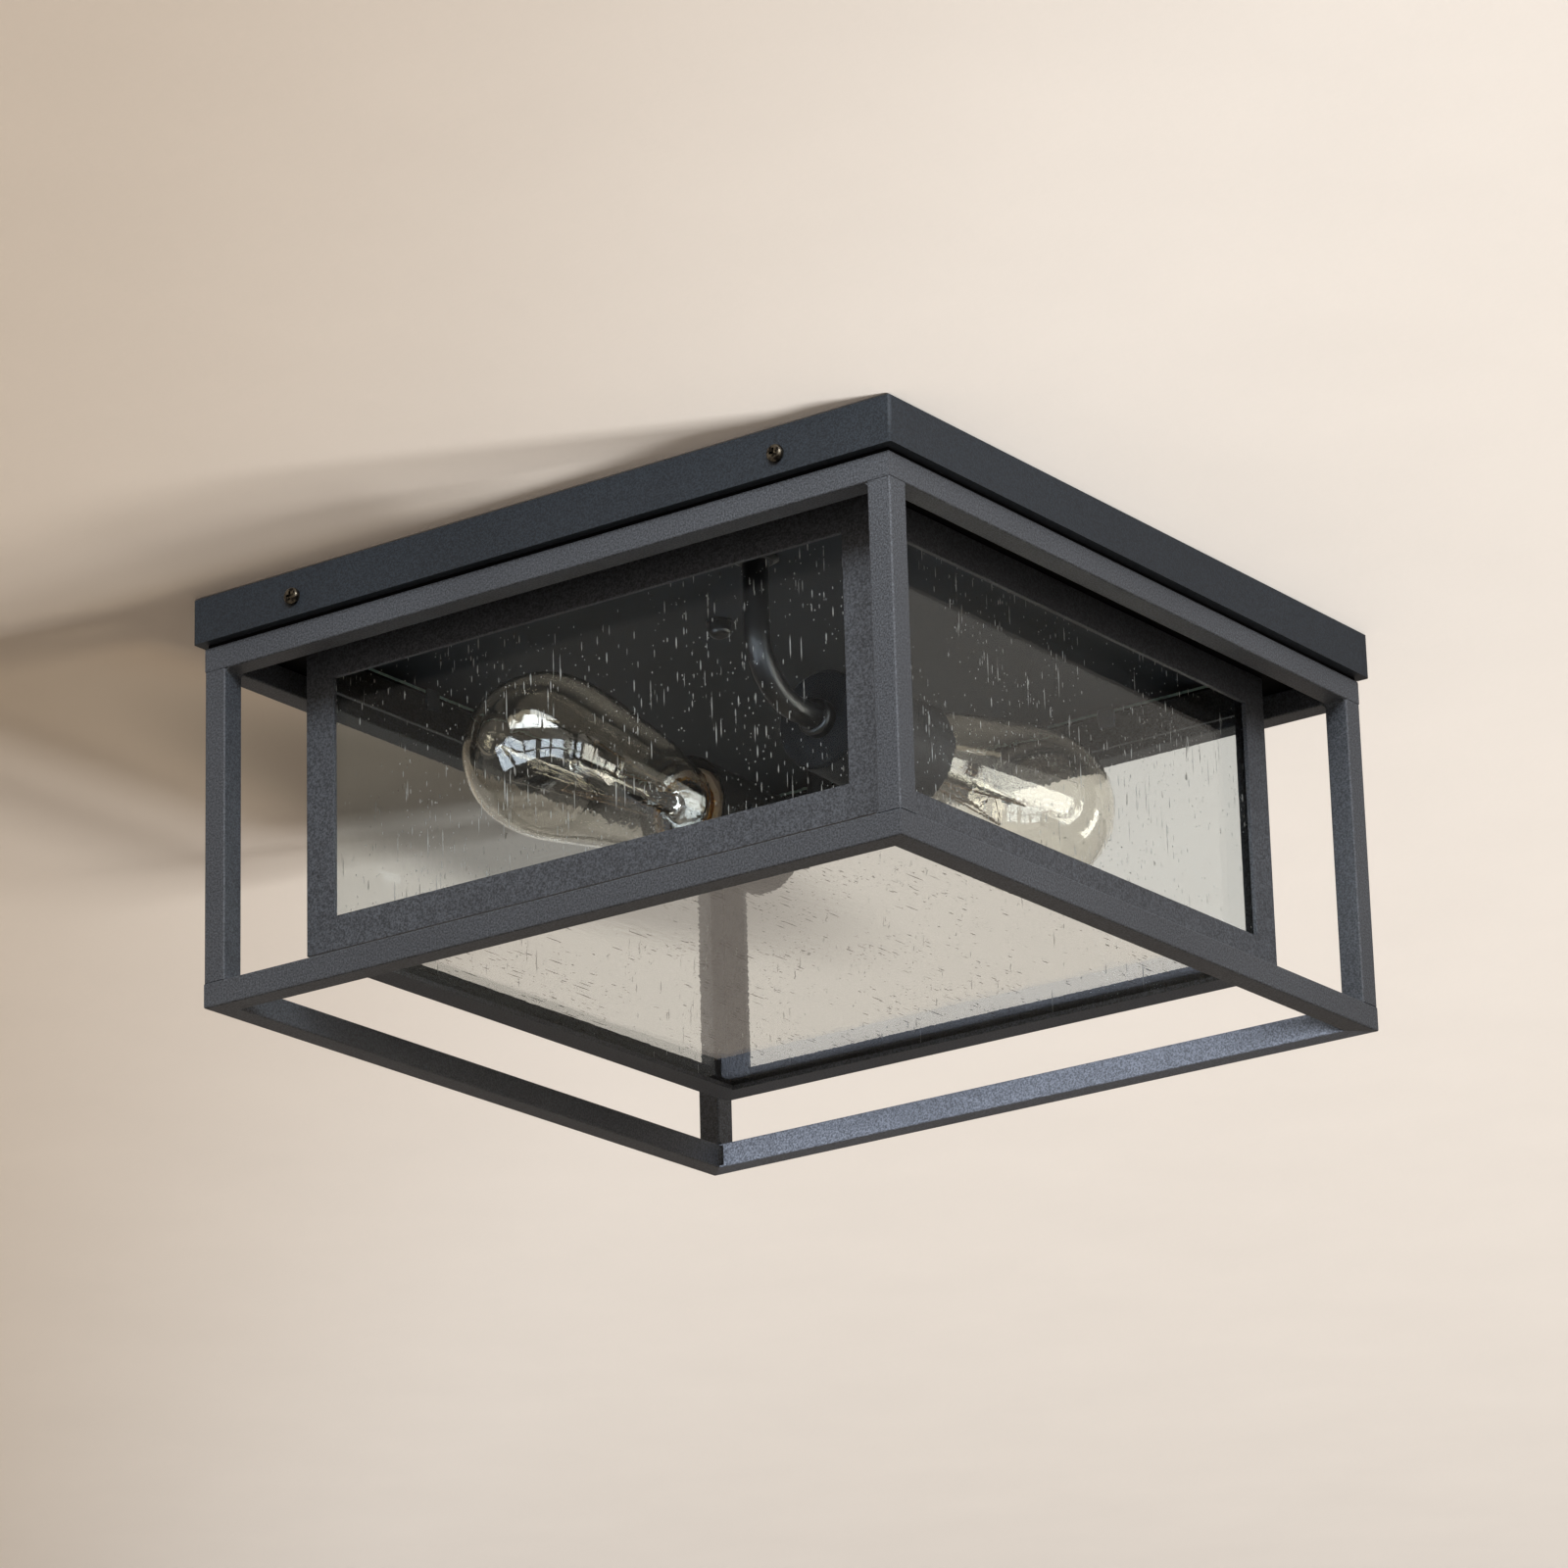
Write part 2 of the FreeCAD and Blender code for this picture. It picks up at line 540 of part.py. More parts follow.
# ---- Arms and lampholders, drawn along +Z from the cup's back --------------------------
def arm(side):
    """The bent tube from the tray down to the back of the socket cup."""
    root = V(LAMP_OFFSET, -ARM_Y, TRAY_INSIDE + ARM_INTO_TRAY)
    bend_top = V(LAMP_OFFSET, -ARM_Y, ARM_BEND - LAMP_DROP)
    bend_end = V(LAMP_OFFSET, -ARM_Y + ARM_BEND, -LAMP_DROP)
    tip = V(LAMP_OFFSET, -CUP_BACK + ARM_INTO_CUP, -LAMP_DROP)
    centre = V(LAMP_OFFSET, -ARM_Y + ARM_BEND, ARM_BEND - LAMP_DROP)
    middle = centre - (Y + Z).normalize() * ARM_BEND
    path = Part.Wire([Part.makeLine(root, bend_top), Part.Arc(bend_top, middle, bend_end).toShape(),
                      Part.makeLine(bend_end, tip)])
    tubes = []
    for radius in (ARM_RADIUS, ARM_RADIUS - ARM_WALL):
        ring = Part.Wire(Part.makeCircle(radius, root, -Z))
        tubes.append(path.makePipeShell([ring], True, False))
    pipe = tubes[0].cut(tubes[1])
    return quarter_turns(pipe, 2) if side == "a" else pipe


def lock_nut(start, direction):
    """The nut that locks the strap nipple and both ends of each arm."""
    return hexagon(NUT_M10_FLATS, NUT_M10_HEIGHT, start, direction, ARM_RADIUS)


def arm_washer(place):
    bore, outside = ARM_RADIUS + FIT, ARM_WASHER_RADIUS
    ring = turned_polygon([(bore, 0), (outside, 0), (outside, -ARM_WASHER / 2),
                           (outside - ARM_WASHER, -ARM_WASHER), (bore, -ARM_WASHER)])
    ring.translate(place + Z * TRAY_FACE)
    return ring


def collar():
    """A rounded lock collar on the tube against the cup's back."""
    bore = cylinder(ARM_RADIUS + FIT, Z, -Z, COLLAR_LENGTH + 2)
    ring = cylinder(COLLAR_RADIUS, V(0, 0, 0), -Z, COLLAR_LENGTH)
    rim = [e for e in ring.Edges if e.Closed and abs(e.Vertexes[0].Z + COLLAR_LENGTH) < 0.01]
    return ring.makeFillet(COLLAR_LENGTH * 0.4, rim).cut(bore)


def cup():
    """The tapered socket cup, open at the front, with the tube's hole in its back."""
    back, rim = CUP_BACK_RADIUS, CUP_RIM_RADIUS
    hole = ARM_RADIUS + FIT
    return turned_polygon([(hole, 0), (back - CUP_EDGE, 0), (back, CUP_EDGE), (rim, CUP_LENGTH),
                           (rim - CUP_WALL, CUP_LENGTH), (back - CUP_WALL, CUP_WALL), (hole, CUP_WALL)])


def holder():
    """The lampholder's insulating body: a wiring bore behind, the lamp's bore in front."""
    rear_end = CUP_WALL + HOLDER_REAR_DEPTH
    bore, outside = SHELL_RADIUS + SHELL_WALL, HOLDER_RADIUS
    shoulder = (outside, HOLDER_FRONT - HOLDER_EDGE)
    front = (outside - HOLDER_EDGE, HOLDER_FRONT)
    rear = [(STUD_RADIUS, rear_end), (HOLDER_REAR_BORE, rear_end), (HOLDER_REAR_BORE, CUP_WALL)]
    inside = [(bore, HOLDER_FRONT), (bore, HOLDER_FLOOR), (STUD_RADIUS, HOLDER_FLOOR)]
    return turned_polygon([(outside, CUP_WALL), shoulder, front] + inside + rear)


def thread_line(radius, turns, start):
    """A rounded thread profile as rings, crests at radius and roots THREAD_DEPTH below."""
    steps = 8 * turns
    points = []
    for i in range(steps + 1):
        angle = 2 * math.pi * i / 8
        points.append((radius - THREAD_DEPTH / 2 * (1 + math.cos(angle)), start + THREAD_PITCH * i / 8))
    return points


def holder_shell():
    """The threaded brass shell in the lampholder, with a floor round the contact."""
    points = thread_line(SHELL_RADIUS, SHELL_TURNS, THREAD_START)
    top = points[-1]
    first = points[0]
    outer = SHELL_RADIUS + SHELL_WALL
    hole = CONTACT_RADIUS + SHELL_FLOOR_GAP
    low, high = HOLDER_FLOOR, HOLDER_FLOOR + SHELL_WALL
    corners = [top, (outer, top[1]), (outer, low), (hole, low), (hole, high), (first[0], high), first]
    return turned([spline(points)] + [line(a, b) for a, b in zip(corners, corners[1:])])


def holder_contact():
    """The centre contact, its shank through the holder's floor."""
    tip = LAMP_CONTACT - CONTACT_GAP
    return turned_polygon([(0, HOLDER_FLOOR - HOLDER_WALL), (STUD_RADIUS, HOLDER_FLOOR - HOLDER_WALL),
                           (STUD_RADIUS, HOLDER_FLOOR), (CONTACT_RADIUS, HOLDER_FLOOR),
                           (CONTACT_RADIUS, HOLDER_FLOOR + SPRING_FOOT), (CONTACT_RADIUS - SPRING_TAPER, tip),
                           (0, tip)])


# ---- Lamp, drawn along +Z from the cup's back ------------------------------------------
def moved_inwards(outline, inset):
    """A half outline moved inwards, each point square to the line through its neighbours."""
    moved = [(outline[0][0] - inset, outline[0][1])]
    for (r0, z0), (r, z), (r1, z1) in zip(outline, outline[1:], outline[2:]):
        size = math.hypot(r1 - r0, z1 - z0)
        moved.append((r - inset * (z1 - z0) / size, z + inset * (r1 - r0) / size))
    moved.append((0, outline[-1][1] - inset))
    return moved


def lamp_outline():
    """Half outline of the glass: neck, round shoulder, long cone and dome."""
    shoulder = LAMP_JOINT + SHOULDER_HEIGHT
    widest = LAMP_TIP_PLACE - LAMP_DOME
    shape = [(NECK_RADIUS, LAMP_JOINT - NECK_DEPTH), (NECK_RADIUS, LAMP_JOINT - NECK_STRAIGHT),
             (NECK_RADIUS + FIT / 2, LAMP_JOINT)]
    for wide, along in ((0.08, 0.12), (0.35, 0.22), (0.70, 0.42), (0.92, 0.72), (1.0, 1.0)):
        radius = NECK_RADIUS + wide * (SHOULDER_RADIUS - NECK_RADIUS)
        shape.append((radius, LAMP_JOINT + along * SHOULDER_HEIGHT))
    for wide, along in ((0.31, 0.19), (0.62, 0.47), (0.87, 0.75), (1.0, 1.0)):
        radius = SHOULDER_RADIUS + wide * (LAMP_RADIUS - SHOULDER_RADIUS)
        shape.append((radius, shoulder + along * (widest - shoulder)))
    for degrees in (20, 40, 58, 74):
        a = math.radians(degrees)
        shape.append((LAMP_RADIUS * math.cos(a), widest + LAMP_DOME * math.sin(a)))
    shape.append((0, LAMP_TIP_PLACE))
    return shape


def lamp_glass():
    outer = lamp_outline()
    inner = moved_inwards(outer, GLASS_WALL)
    edges = [spline(outer, V(0, 0, 1), V(-1, 0, 0)), spline(inner, V(0, 0, 1), V(-1, 0, 0)),
             line(outer[0], inner[0]), line(outer[-1], inner[-1])]
    return turned(edges)


def lamp_base():
    """The brass screw base: a thin threaded shell with a plain skirt at the glass."""
    points = thread_line(LAMP_THREAD_RADIUS, LAMP_TURNS, THREAD_START)
    first, last = points[0], points[-1]
    shoulder = (LAMP_THREAD_RADIUS, last[1] + THREAD_DEPTH)
    nose = (BASE_NOSE, first[1] - BASE_LEAD_HEIGHT)
    nose_in = (BASE_NOSE - BASE_WALL, nose[1])
    mouth, mouth_in = (LAMP_THREAD_RADIUS, LAMP_JOINT), (BASE_BORE, LAMP_JOINT)
    neck_in = (BASE_BORE, first[1])
    edges = [spline(points), line(last, shoulder), line(shoulder, mouth), line(mouth, mouth_in),
             line(mouth_in, neck_in), line(neck_in, nose_in), line(nose_in, nose), line(nose, first)]
    return turned(edges)


def lamp_insulator():
    """The dark glass insulator between the base and the contact."""
    top = THREAD_START - BASE_LEAD_HEIGHT
    wide = BASE_NOSE - BASE_WALL
    foot = LAMP_CONTACT + CONTACT_HEIGHT
    return turned_polygon([(0, top + 1), (wide, top + 1), (wide, top), (CONTACT_RADIUS, foot), (0, foot)])


def lamp_contact():
    top = LAMP_CONTACT + CONTACT_HEIGHT
    edge = LAMP_CONTACT + CONTACT_HEIGHT / 2
    return turned_polygon([(0, top), (CONTACT_RADIUS, top), (CONTACT_RADIUS, edge),
                           (CONTACT_RADIUS * 0.65, LAMP_CONTACT), (0, LAMP_CONTACT)])


def lamp_stem():
    """The glass stem: a flare sealed in the neck, the pinch and a slim rod with a button."""
    flare = NECK_RADIUS - GLASS_WALL - FIT
    flare_end = STEM_START + STEM_FLARE_HEIGHT
    rod_end = STEM_ROD_START + STEM_ROD_LENGTH
    pinch, rod, button = STEM_PINCH_RADIUS, STEM_ROD_RADIUS, STEM_BUTTON_RADIUS
    button_foot = rod_end + STEM_BUTTON_TAPER
    button_top = button_foot + STEM_BUTTON_HEIGHT
    foot = [(0, STEM_START), (flare, STEM_START), (flare, STEM_START + STEM_FOOT)]
    middle = [(pinch, flare_end), (pinch * 0.8, STEM_ROD_START - 2), (rod, STEM_ROD_START), (rod, rod_end)]
    end = [(button, button_foot), (button, button_top), (0, button_top + STEM_BUTTON_TAPER)]
    return turned_polygon(foot + middle + end)


def lamp_filament():
    """Filament strands zigzag between a low and a high ring of hooks, off two lead wires."""
    low = STEM_ROD_START - 2
    high = low + FILAMENT_LENGTH
    hooks = []
    for i in range(FILAMENT_STRANDS):
        angle = math.radians(300 * i / (FILAMENT_STRANDS - 1))
        radius, height = (FILAMENT_LOW_RADIUS, low) if i % 2 == 0 else (FILAMENT_HIGH_RADIUS, high)
        hooks.append(V(radius * math.cos(angle), radius * math.sin(angle), height))
    lead_height = STEM_START + STEM_FLARE_HEIGHT + 5
    leads = [V(side * STEM_PINCH_RADIUS * 0.6, 0, lead_height) for side in (1, -1)]
    wire = rod_chain([leads[0]] + hooks[:-1] + [leads[1]], FILAMENT_RADIUS)
    spokes = [rod_chain([V(0, 0, high - 6), hook], FILAMENT_RADIUS / 2) for hook in hooks[1:-1:2]]
    return wire.multiFuse(spokes).cut(lamp_stem())


# ---- Build -----------------------------------------------------------------------------
def build():
    os.makedirs("parts", exist_ok=True)

    export(tray(), "tray")
    export(box_strap(), "box_strap")
    export(stud_strap(), "stud_strap")
    export(nipple(), "strap_nipple")
    export(ground_screw(), "ground_screw")
    export(Part.makeCompound([stud(p) for p in stud_places()]), "studs")
    seats = [place - Z * 2 * STRAP_SHEET for place in stud_places()]
    stud_nuts = [hexagon(NUT_M4_FLATS, NUT_M4_HEIGHT, seat, -Z, STUD_RADIUS) for seat in seats]
    export(Part.makeCompound(stud_nuts), "stud_nuts")
    export(Part.makeCompound([cap_nut(p) for p in stud_places()]), "cap_nuts")

    lock_nuts = [lock_nut(V(0, 0, -2 * STRAP_SHEET), -Z)]
    lock_nuts += [lock_nut(place + Z * TRAY_INSIDE, Z) for place in arm_places()]
    lock_nuts += [on_lamp_axis(lock_nut(V(0, 0, CUP_WALL), Z), side) for side in "ab"]
    export(Part.makeCompound(lock_nuts), "lock_nuts")
    export(Part.makeCompound([arm_washer(p) for p in arm_places()]), "arm_washers")
    export(both_sides(collar()), "arm_collars")
    for side in "ab":
        export(arm(side), "arm_" + side)
        export(on_lamp_axis(cup(), side), "cup_" + side)
        export(on_lamp_axis(holder(), side), "holder_" + side)
        brass = Part.makeCompound([holder_shell(), holder_contact()])
        export(on_lamp_axis(brass, side), "holder_brass_" + side)
        export(on_lamp_axis(lamp_glass(), side), "lamp_glass_" + side)
        metal = Part.makeCompound([lamp_base(), lamp_contact()])
        export(on_lamp_axis(metal, side), "lamp_base_" + side)
        export(on_lamp_axis(lamp_insulator(), side), "lamp_insulator_" + side)
        export(on_lamp_axis(lamp_stem(), side), "lamp_stem_" + side)
        export(on_lamp_axis(lamp_filament(), side), "lamp_filament_" + side)

    export(skirt(), "skirt")
    export(top_plate(), "top_plate")
    screw_places = side_screw_places()
    export(Part.makeCompound([side_screw(x, face) for x, face in screw_places]), "side_screws")
    export(Part.makeCompound([weld_nut(x, face) for x, face in screw_places]), "weld_nuts")
    sides = ["front", "right", "back", "left"]
    corners = ["front_left", "front_right", "back_right", "back_left"]
    for turn in range(4):
        export(quarter_turns(ring_bar(RING_FOOT), turn), "cage_top_" + sides[turn])
        export(quarter_turns(ring_bar(-CAGE_FOOT), turn), "cage_foot_" + sides[turn])
        export(quarter_turns(post(), turn), "cage_post_" + corners[turn])
        export(quarter_turns(corner_angle(), turn), "frame_corner_" + corners[turn])
        half = HALF_FRAME_IN - PANE_JOINT
        if turn % 2 == 1:
            half -= PANE
        export(quarter_turns(side_pane(half), turn), "pane_" + sides[turn])
    export(cage_welds(), "cage_welds")
    export(Part.makeCompound([quarter_turns(top_rail(), t) for t in range(4)]), "frame_top_rails")
    export(Part.makeCompound([quarter_turns(bottom_rail(), t) for t in range(4)]), "frame_foot_rails")
    export(bottom_pane(), "pane_bottom")
    clips = [quarter_turns(pane_clip(x), turn) for turn in range(4) for x in (-CLIP_OFFSET, CLIP_OFFSET)]
    export(Part.makeCompound(clips), "pane_clips")


build()
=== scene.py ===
# %% [markdown]
# # A porch ceiling lantern
# The lantern is a square cage of black steel tube round a smaller glass lantern. Two big
# lamps lie on their sides in it, under a shallow tray that hides the ceiling box.
# The metal and glass come in at their real size, in metres, with the ceiling at Z = 0.
# This lesson gives each surface its finish, adds the shapes that are too fine for the
# drawing, and builds a porch to hang it in.

# %% Load the lantern
import json
import math
import random

import bpy
from mathutils import Matrix, Vector, noise


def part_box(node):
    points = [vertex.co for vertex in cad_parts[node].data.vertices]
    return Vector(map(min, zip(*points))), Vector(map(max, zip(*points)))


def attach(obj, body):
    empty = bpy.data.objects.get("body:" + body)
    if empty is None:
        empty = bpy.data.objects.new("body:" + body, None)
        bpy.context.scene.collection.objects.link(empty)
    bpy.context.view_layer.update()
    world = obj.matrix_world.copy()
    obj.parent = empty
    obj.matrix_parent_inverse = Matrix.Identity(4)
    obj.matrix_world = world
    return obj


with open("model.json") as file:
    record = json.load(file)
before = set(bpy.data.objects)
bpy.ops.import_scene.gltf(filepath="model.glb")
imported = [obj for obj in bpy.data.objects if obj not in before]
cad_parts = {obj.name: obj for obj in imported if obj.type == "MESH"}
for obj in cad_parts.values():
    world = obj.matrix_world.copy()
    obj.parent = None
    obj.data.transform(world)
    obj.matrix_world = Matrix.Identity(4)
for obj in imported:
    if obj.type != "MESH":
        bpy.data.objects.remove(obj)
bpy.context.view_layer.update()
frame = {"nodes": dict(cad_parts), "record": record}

MM = 0.001
CM = 0.01
nodes = frame["nodes"]

# %% [markdown]
# ## Two helpers for every finish
# A finish is a small graph of nodes. One function adds a node, sets its options and fills
# its sockets, with a plain value or with a link. Colours are written as the hex values a
# paint program shows, so a second function turns them into the linear light Blender mixes.

# %% Nodes and colours
def add(tree, kind, sockets=None, **options):
    """Add a shader node, set its options, then fill or link its sockets."""
    node = tree.nodes.new("ShaderNode" + kind)
    for name, value in options.items():
        setattr(node, name, value)
    for name, value in (sockets or {}).items():
        if isinstance(value, bpy.types.NodeSocket):
            tree.links.new(value, node.inputs[name])
        else:
            node.inputs[name].default_value = value
    return node


def linear(hex_colour):
    """Turn an sRGB hex colour into linear red, green, blue and alpha."""
    shares = [int(hex_colour[i:i + 2], 16) / 255 for i in (1, 3, 5)]
    return [s / 12.92 if s <= 0.04045 else ((s + 0.055) / 1.055) ** 2.4 for s in shares] + [1.0]


def new_finish(name):
    """An empty material with its node tree."""
    finish = bpy.data.materials.new(name)
    finish.use_nodes = True
    finish.node_tree.nodes.clear()
    return finish, finish.node_tree


def per_metre(millimetres):
    """Scale of a pattern whose grains are this many millimetres across."""
    return 1.0 / (millimetres * MM)


print("mid grey in linear light:", round(linear("#808080")[0], 3))

# %% [markdown]
# ## Powder coat
# The cage, skirt, tray and frame are mild steel with a fine-textured polyester powder coat.
# The powder is sprayed on dry and baked, and the sand texture in it gives a dull charcoal
# skin with tiny grains that each catch a little light. Real grit is 0.3 mm across. At this
# distance that would vanish, so it is drawn at 0.7 mm, with a slow unevenness under it.
# The grit is drawn in two tones that follow its bump: painted shade in the hollows and a
# painted highlight on the grain tops.
# The skirt, tray and clips are flat sheet, and they take a darker copy of the coat: painted
# shade for the lesser light near the ceiling and inside the lantern. The socket cups take a
# darker and duller copy still, painted shade so that no lamplight plays on them, and the
# hidden plate takes a near-black, dead-flat copy, painted shade for the deep gap over the frame.

# %% Textured black powder coat
GRIT = 0.7           # mm across; the real 0.3 mm, drawn coarser
GRIT_HEIGHT = 0.12
FLOW = 7.0           # where the molten powder has run together
FLOW_HEIGHT = 0.15
CLOUD = 70.0         # dust and wear over a hand's breadth


def textured_powder_coat(name, hollow_shade_tone, grain_highlight_tone, shine):
    """Painted shade between the grains; lighter and duller on top of them, a painted highlight."""
    finish, tree = new_finish(name)
    place = add(tree, "TexCoord").outputs["Object"]
    grit = add(tree, "TexNoise", {"Vector": place, "Scale": per_metre(GRIT), "Detail": 2.0})
    flow = add(tree, "TexNoise", {"Vector": place, "Scale": per_metre(FLOW), "Detail": 1.0})
    cloud = add(tree, "TexNoise", {"Vector": place, "Scale": per_metre(CLOUD), "Detail": 3.0})
    # The two tones follow the bump: painted shade in the hollows, painted highlight on the grain tops.
    skin = add(tree, "ValToRGB", {"Fac": grit.outputs["Fac"]})
    skin.color_ramp.elements[0].position = 0.36
    skin.color_ramp.elements[0].color = linear(hollow_shade_tone)
    skin.color_ramp.elements[1].position = 0.68
    skin.color_ramp.elements[1].color = linear(grain_highlight_tone)
    dust = add(tree, "ValToRGB", {"Fac": cloud.outputs["Fac"]})
    dust.color_ramp.elements[0].color = linear("#C9CACC")
    dust.color_ramp.elements[1].color = linear("#FFFFFF")
    shade = add(tree, "Mix", {"Factor": 1.0, 6: skin.outputs["Color"], 7: dust.outputs["Color"]},
                data_type="RGBA", blend_type="MULTIPLY")
    gloss = add(tree, "MapRange", {"Value": grit.outputs["Fac"], "To Min": 0.48, "To Max": 0.70})
    grains = add(tree, "Bump", {"Height": grit.outputs["Fac"], "Strength": 0.55,
                                "Distance": GRIT_HEIGHT * MM})
    skin_bump = add(tree, "Bump", {"Height": flow.outputs["Fac"], "Strength": 0.25,
                                   "Distance": FLOW_HEIGHT * MM, "Normal": grains.outputs["Normal"]})
    coat = add(tree, "BsdfPrincipled", {"Base Color": shade.outputs[2], "Roughness": gloss.outputs[0],
                                        "Specular IOR Level": shine, "Normal": skin_bump.outputs["Normal"]})
    add(tree, "OutputMaterial", {"Surface": coat.outputs[0]})
    return finish


powder_coat = textured_powder_coat("textured_black_powder_coat", "#2C2F34", "#5A5F66", 0.5)
# Darker copies of the coat are painted shade: on the sheet pieces, the cups, and the plate in the gap over
# the frame.
shaded_sheet_coat = textured_powder_coat("sheet_powder_coat_painted_shade", "#181E25", "#2D353D", 0.35)
shaded_cup_coat = textured_powder_coat("cup_powder_coat_painted_shade", "#0F1216", "#1D2228", 0.2)
painted_shade_plate_coat = textured_powder_coat("plate_black_painted_shade", "#040405", "#0B0B0C", 0.05)
print("coats:", powder_coat.name, shaded_sheet_coat.name, shaded_cup_coat.name, painted_shade_plate_coat.name)

# %% [markdown]
# ## Smooth enamel
# The bent arms, their collars and the cap nuts are bought-in steel parts, sprayed with a
# smoother satin enamel. It is the same black, but it keeps a soft streak of light along a
# tube. Orange peel from the spray gun is about 2.5 mm across.

# %% Satin black enamel
ORANGE_PEEL = 2.5
PEEL_HEIGHT = 0.1


def satin_enamel():
    """Nearly one tone, with a gloss that comes and goes over the orange peel."""
    finish, tree = new_finish("satin_black_enamel")
    place = add(tree, "TexCoord").outputs["Object"]
    peel = add(tree, "TexNoise", {"Vector": place, "Scale": per_metre(ORANGE_PEEL), "Detail": 2.0})
    cloud = add(tree, "TexNoise", {"Vector": place, "Scale": per_metre(CLOUD / 3), "Detail": 2.0})
    tone = add(tree, "ValToRGB", {"Fac": cloud.outputs["Fac"]})
    tone.color_ramp.elements[0].color = linear("#131416")
    tone.color_ramp.elements[1].color = linear("#202225")
    gloss = add(tree, "MapRange", {"Value": peel.outputs["Fac"], "To Min": 0.28, "To Max": 0.42})
    skin = add(tree, "Bump", {"Height": peel.outputs["Fac"], "Strength": 0.2,
                              "Distance": PEEL_HEIGHT * MM})
    coat = add(tree, "BsdfPrincipled", {"Base Color": tone.outputs["Color"], "Roughness": gloss.outputs[0],
                                        "Specular IOR Level": 0.4, "Normal": skin.outputs["Normal"]})
    add(tree, "OutputMaterial", {"Surface": coat.outputs[0]})
    return finish


enamel = satin_enamel()
print(enamel.name, "with", ORANGE_PEEL, "mm orange peel")

# %% [markdown]
# ## Plain metals
# Zinc plate is pale and slightly blue, and tumbling in the plating barrel leaves it
# scuffed. Brass is drawn and thread-rolled, so it is shinier, with darker tarnish in
# patches. The side screws are steel with a dark brown-black oxide that wears to bright
# metal. One recipe serves them all: a clean tone, a worn tone, a patch size and a gloss.

# %% Zinc, brass, oxide and green plate
SCUFF_HEIGHT = 0.05
SCUFFS_IN_A_PATCH = 6


def worn_metal(name, clean, worn, patch, smooth, rough):
    """Bare metal in patches of two tones, scuffed more finely than the patches."""
    finish, tree = new_finish(name)
    place = add(tree, "TexCoord").outputs["Object"]
    patches = add(tree, "TexNoise", {"Vector": place, "Scale": per_metre(patch), "Detail": 4.0})
    scuffs = add(tree, "TexNoise", {"Vector": place, "Scale": per_metre(patch / SCUFFS_IN_A_PATCH),
                                    "Detail": 3.0})
    tone = add(tree, "ValToRGB", {"Fac": patches.outputs["Fac"]})
    tone.color_ramp.elements[0].position = 0.38
    tone.color_ramp.elements[0].color = linear(worn)
    tone.color_ramp.elements[1].position = 0.62
    tone.color_ramp.elements[1].color = linear(clean)
    gloss = add(tree, "MapRange", {"Value": scuffs.outputs["Fac"], "To Min": smooth, "To Max": rough})
    dents = add(tree, "Bump", {"Height": scuffs.outputs["Fac"], "Strength": 0.3,
                               "Distance": SCUFF_HEIGHT * MM})
    metal = add(tree, "BsdfPrincipled", {"Base Color": tone.outputs["Color"], "Metallic": 1.0,
                                         "Roughness": gloss.outputs[0], "Normal": dents.outputs["Normal"]})
    add(tree, "OutputMaterial", {"Surface": metal.outputs[0]})
    return finish


zinc_plate = worn_metal("zinc_plated_steel", "#C3C7CC", "#A3A8AD", 6.0, 0.28, 0.5)
rolled_brass = worn_metal("rolled_brass", "#D0A048", "#94692A", 9.0, 0.18, 0.36)
oxide_steel = worn_metal("black_oxide_steel", "#6E675A", "#26221E", 1.6, 0.22, 0.45)
green_plate = worn_metal("green_passivated_steel", "#4E8A5A", "#38694A", 3.0, 0.3, 0.5)
print("metals:", zinc_plate.name, rolled_brass.name, oxide_steel.name, green_plate.name)

# %% [markdown]
# ## Clear glass
# Glass bends light by its index, 1.52 for window glass, and its surface is clear. Three
# glasses share one recipe. The panes are drawn glass, whose faces ripple along the draw, so
# things seen through them have slightly ragged edges. The lamps are blown, and their stems
# are plain tube. The colour sits inside the glass: a volume that absorbs a little light
# turns a pane green through its edge, and a lamp amber where the eye looks along its wall.
# Daylight must reach the inside of the lantern, so a shadow ray and a ray off a matt
# surface pass straight through, dimmed a little at each face. Only the eye's own ray, and
# a mirror's, bends in the glass.

# %% One recipe for three glasses
def glass(name, tint, mirror, index, shadow_tint, ripple, ripple_height, wave, wave_height,
          stretch=(1.0, 1.0, 1.0)):
    """Ripples and waves are in mm; stretch below 1 draws them out along that axis."""
    finish, tree = new_finish(name)
    place = add(tree, "TexCoord").outputs["Object"]
    drawn = add(tree, "Mapping", {"Vector": place, "Scale": stretch})
    fine = add(tree, "TexNoise", {"Vector": drawn.outputs[0], "Scale": per_metre(ripple), "Detail": 1.0})
    broad = add(tree, "TexNoise", {"Vector": drawn.outputs[0], "Scale": per_metre(wave), "Detail": 0.0})
    ripples = add(tree, "Bump", {"Height": fine.outputs["Fac"], "Strength": 1.0,
                                 "Distance": ripple_height * MM})
    waves = add(tree, "Bump", {"Height": broad.outputs["Fac"], "Strength": 1.0,
                               "Distance": wave_height * MM, "Normal": ripples.outputs["Normal"]})
    clear = add(tree, "BsdfPrincipled", {"Base Color": linear(tint), "Roughness": 0.0, "IOR": index,
                                         "Transmission Weight": 1.0, "Specular Tint": linear(mirror),
                                         "Normal": waves.outputs["Normal"]})
    let_through = add(tree, "BsdfTransparent", {"Color": linear(shadow_tint)})
    ray = add(tree, "LightPath")
    soft = add(tree, "Math", {0: ray.outputs["Is Shadow Ray"], 1: ray.outputs["Is Diffuse Ray"]},
               operation="MAXIMUM")
    both = add(tree, "MixShader", {0: soft.outputs[0], 1: clear.outputs[0], 2: let_through.outputs[0]})
    out = add(tree, "OutputMaterial", {"Surface": both.outputs[0]})
    return finish, tree, out


WINDOW_GLASS, LAMP_GLASS, LEAD_GLASS = 1.52, 1.50, 1.56     # refractive indices
IRON_GREEN = 9.0      # how fast each glass takes up light, per metre
AMBER = 70.0


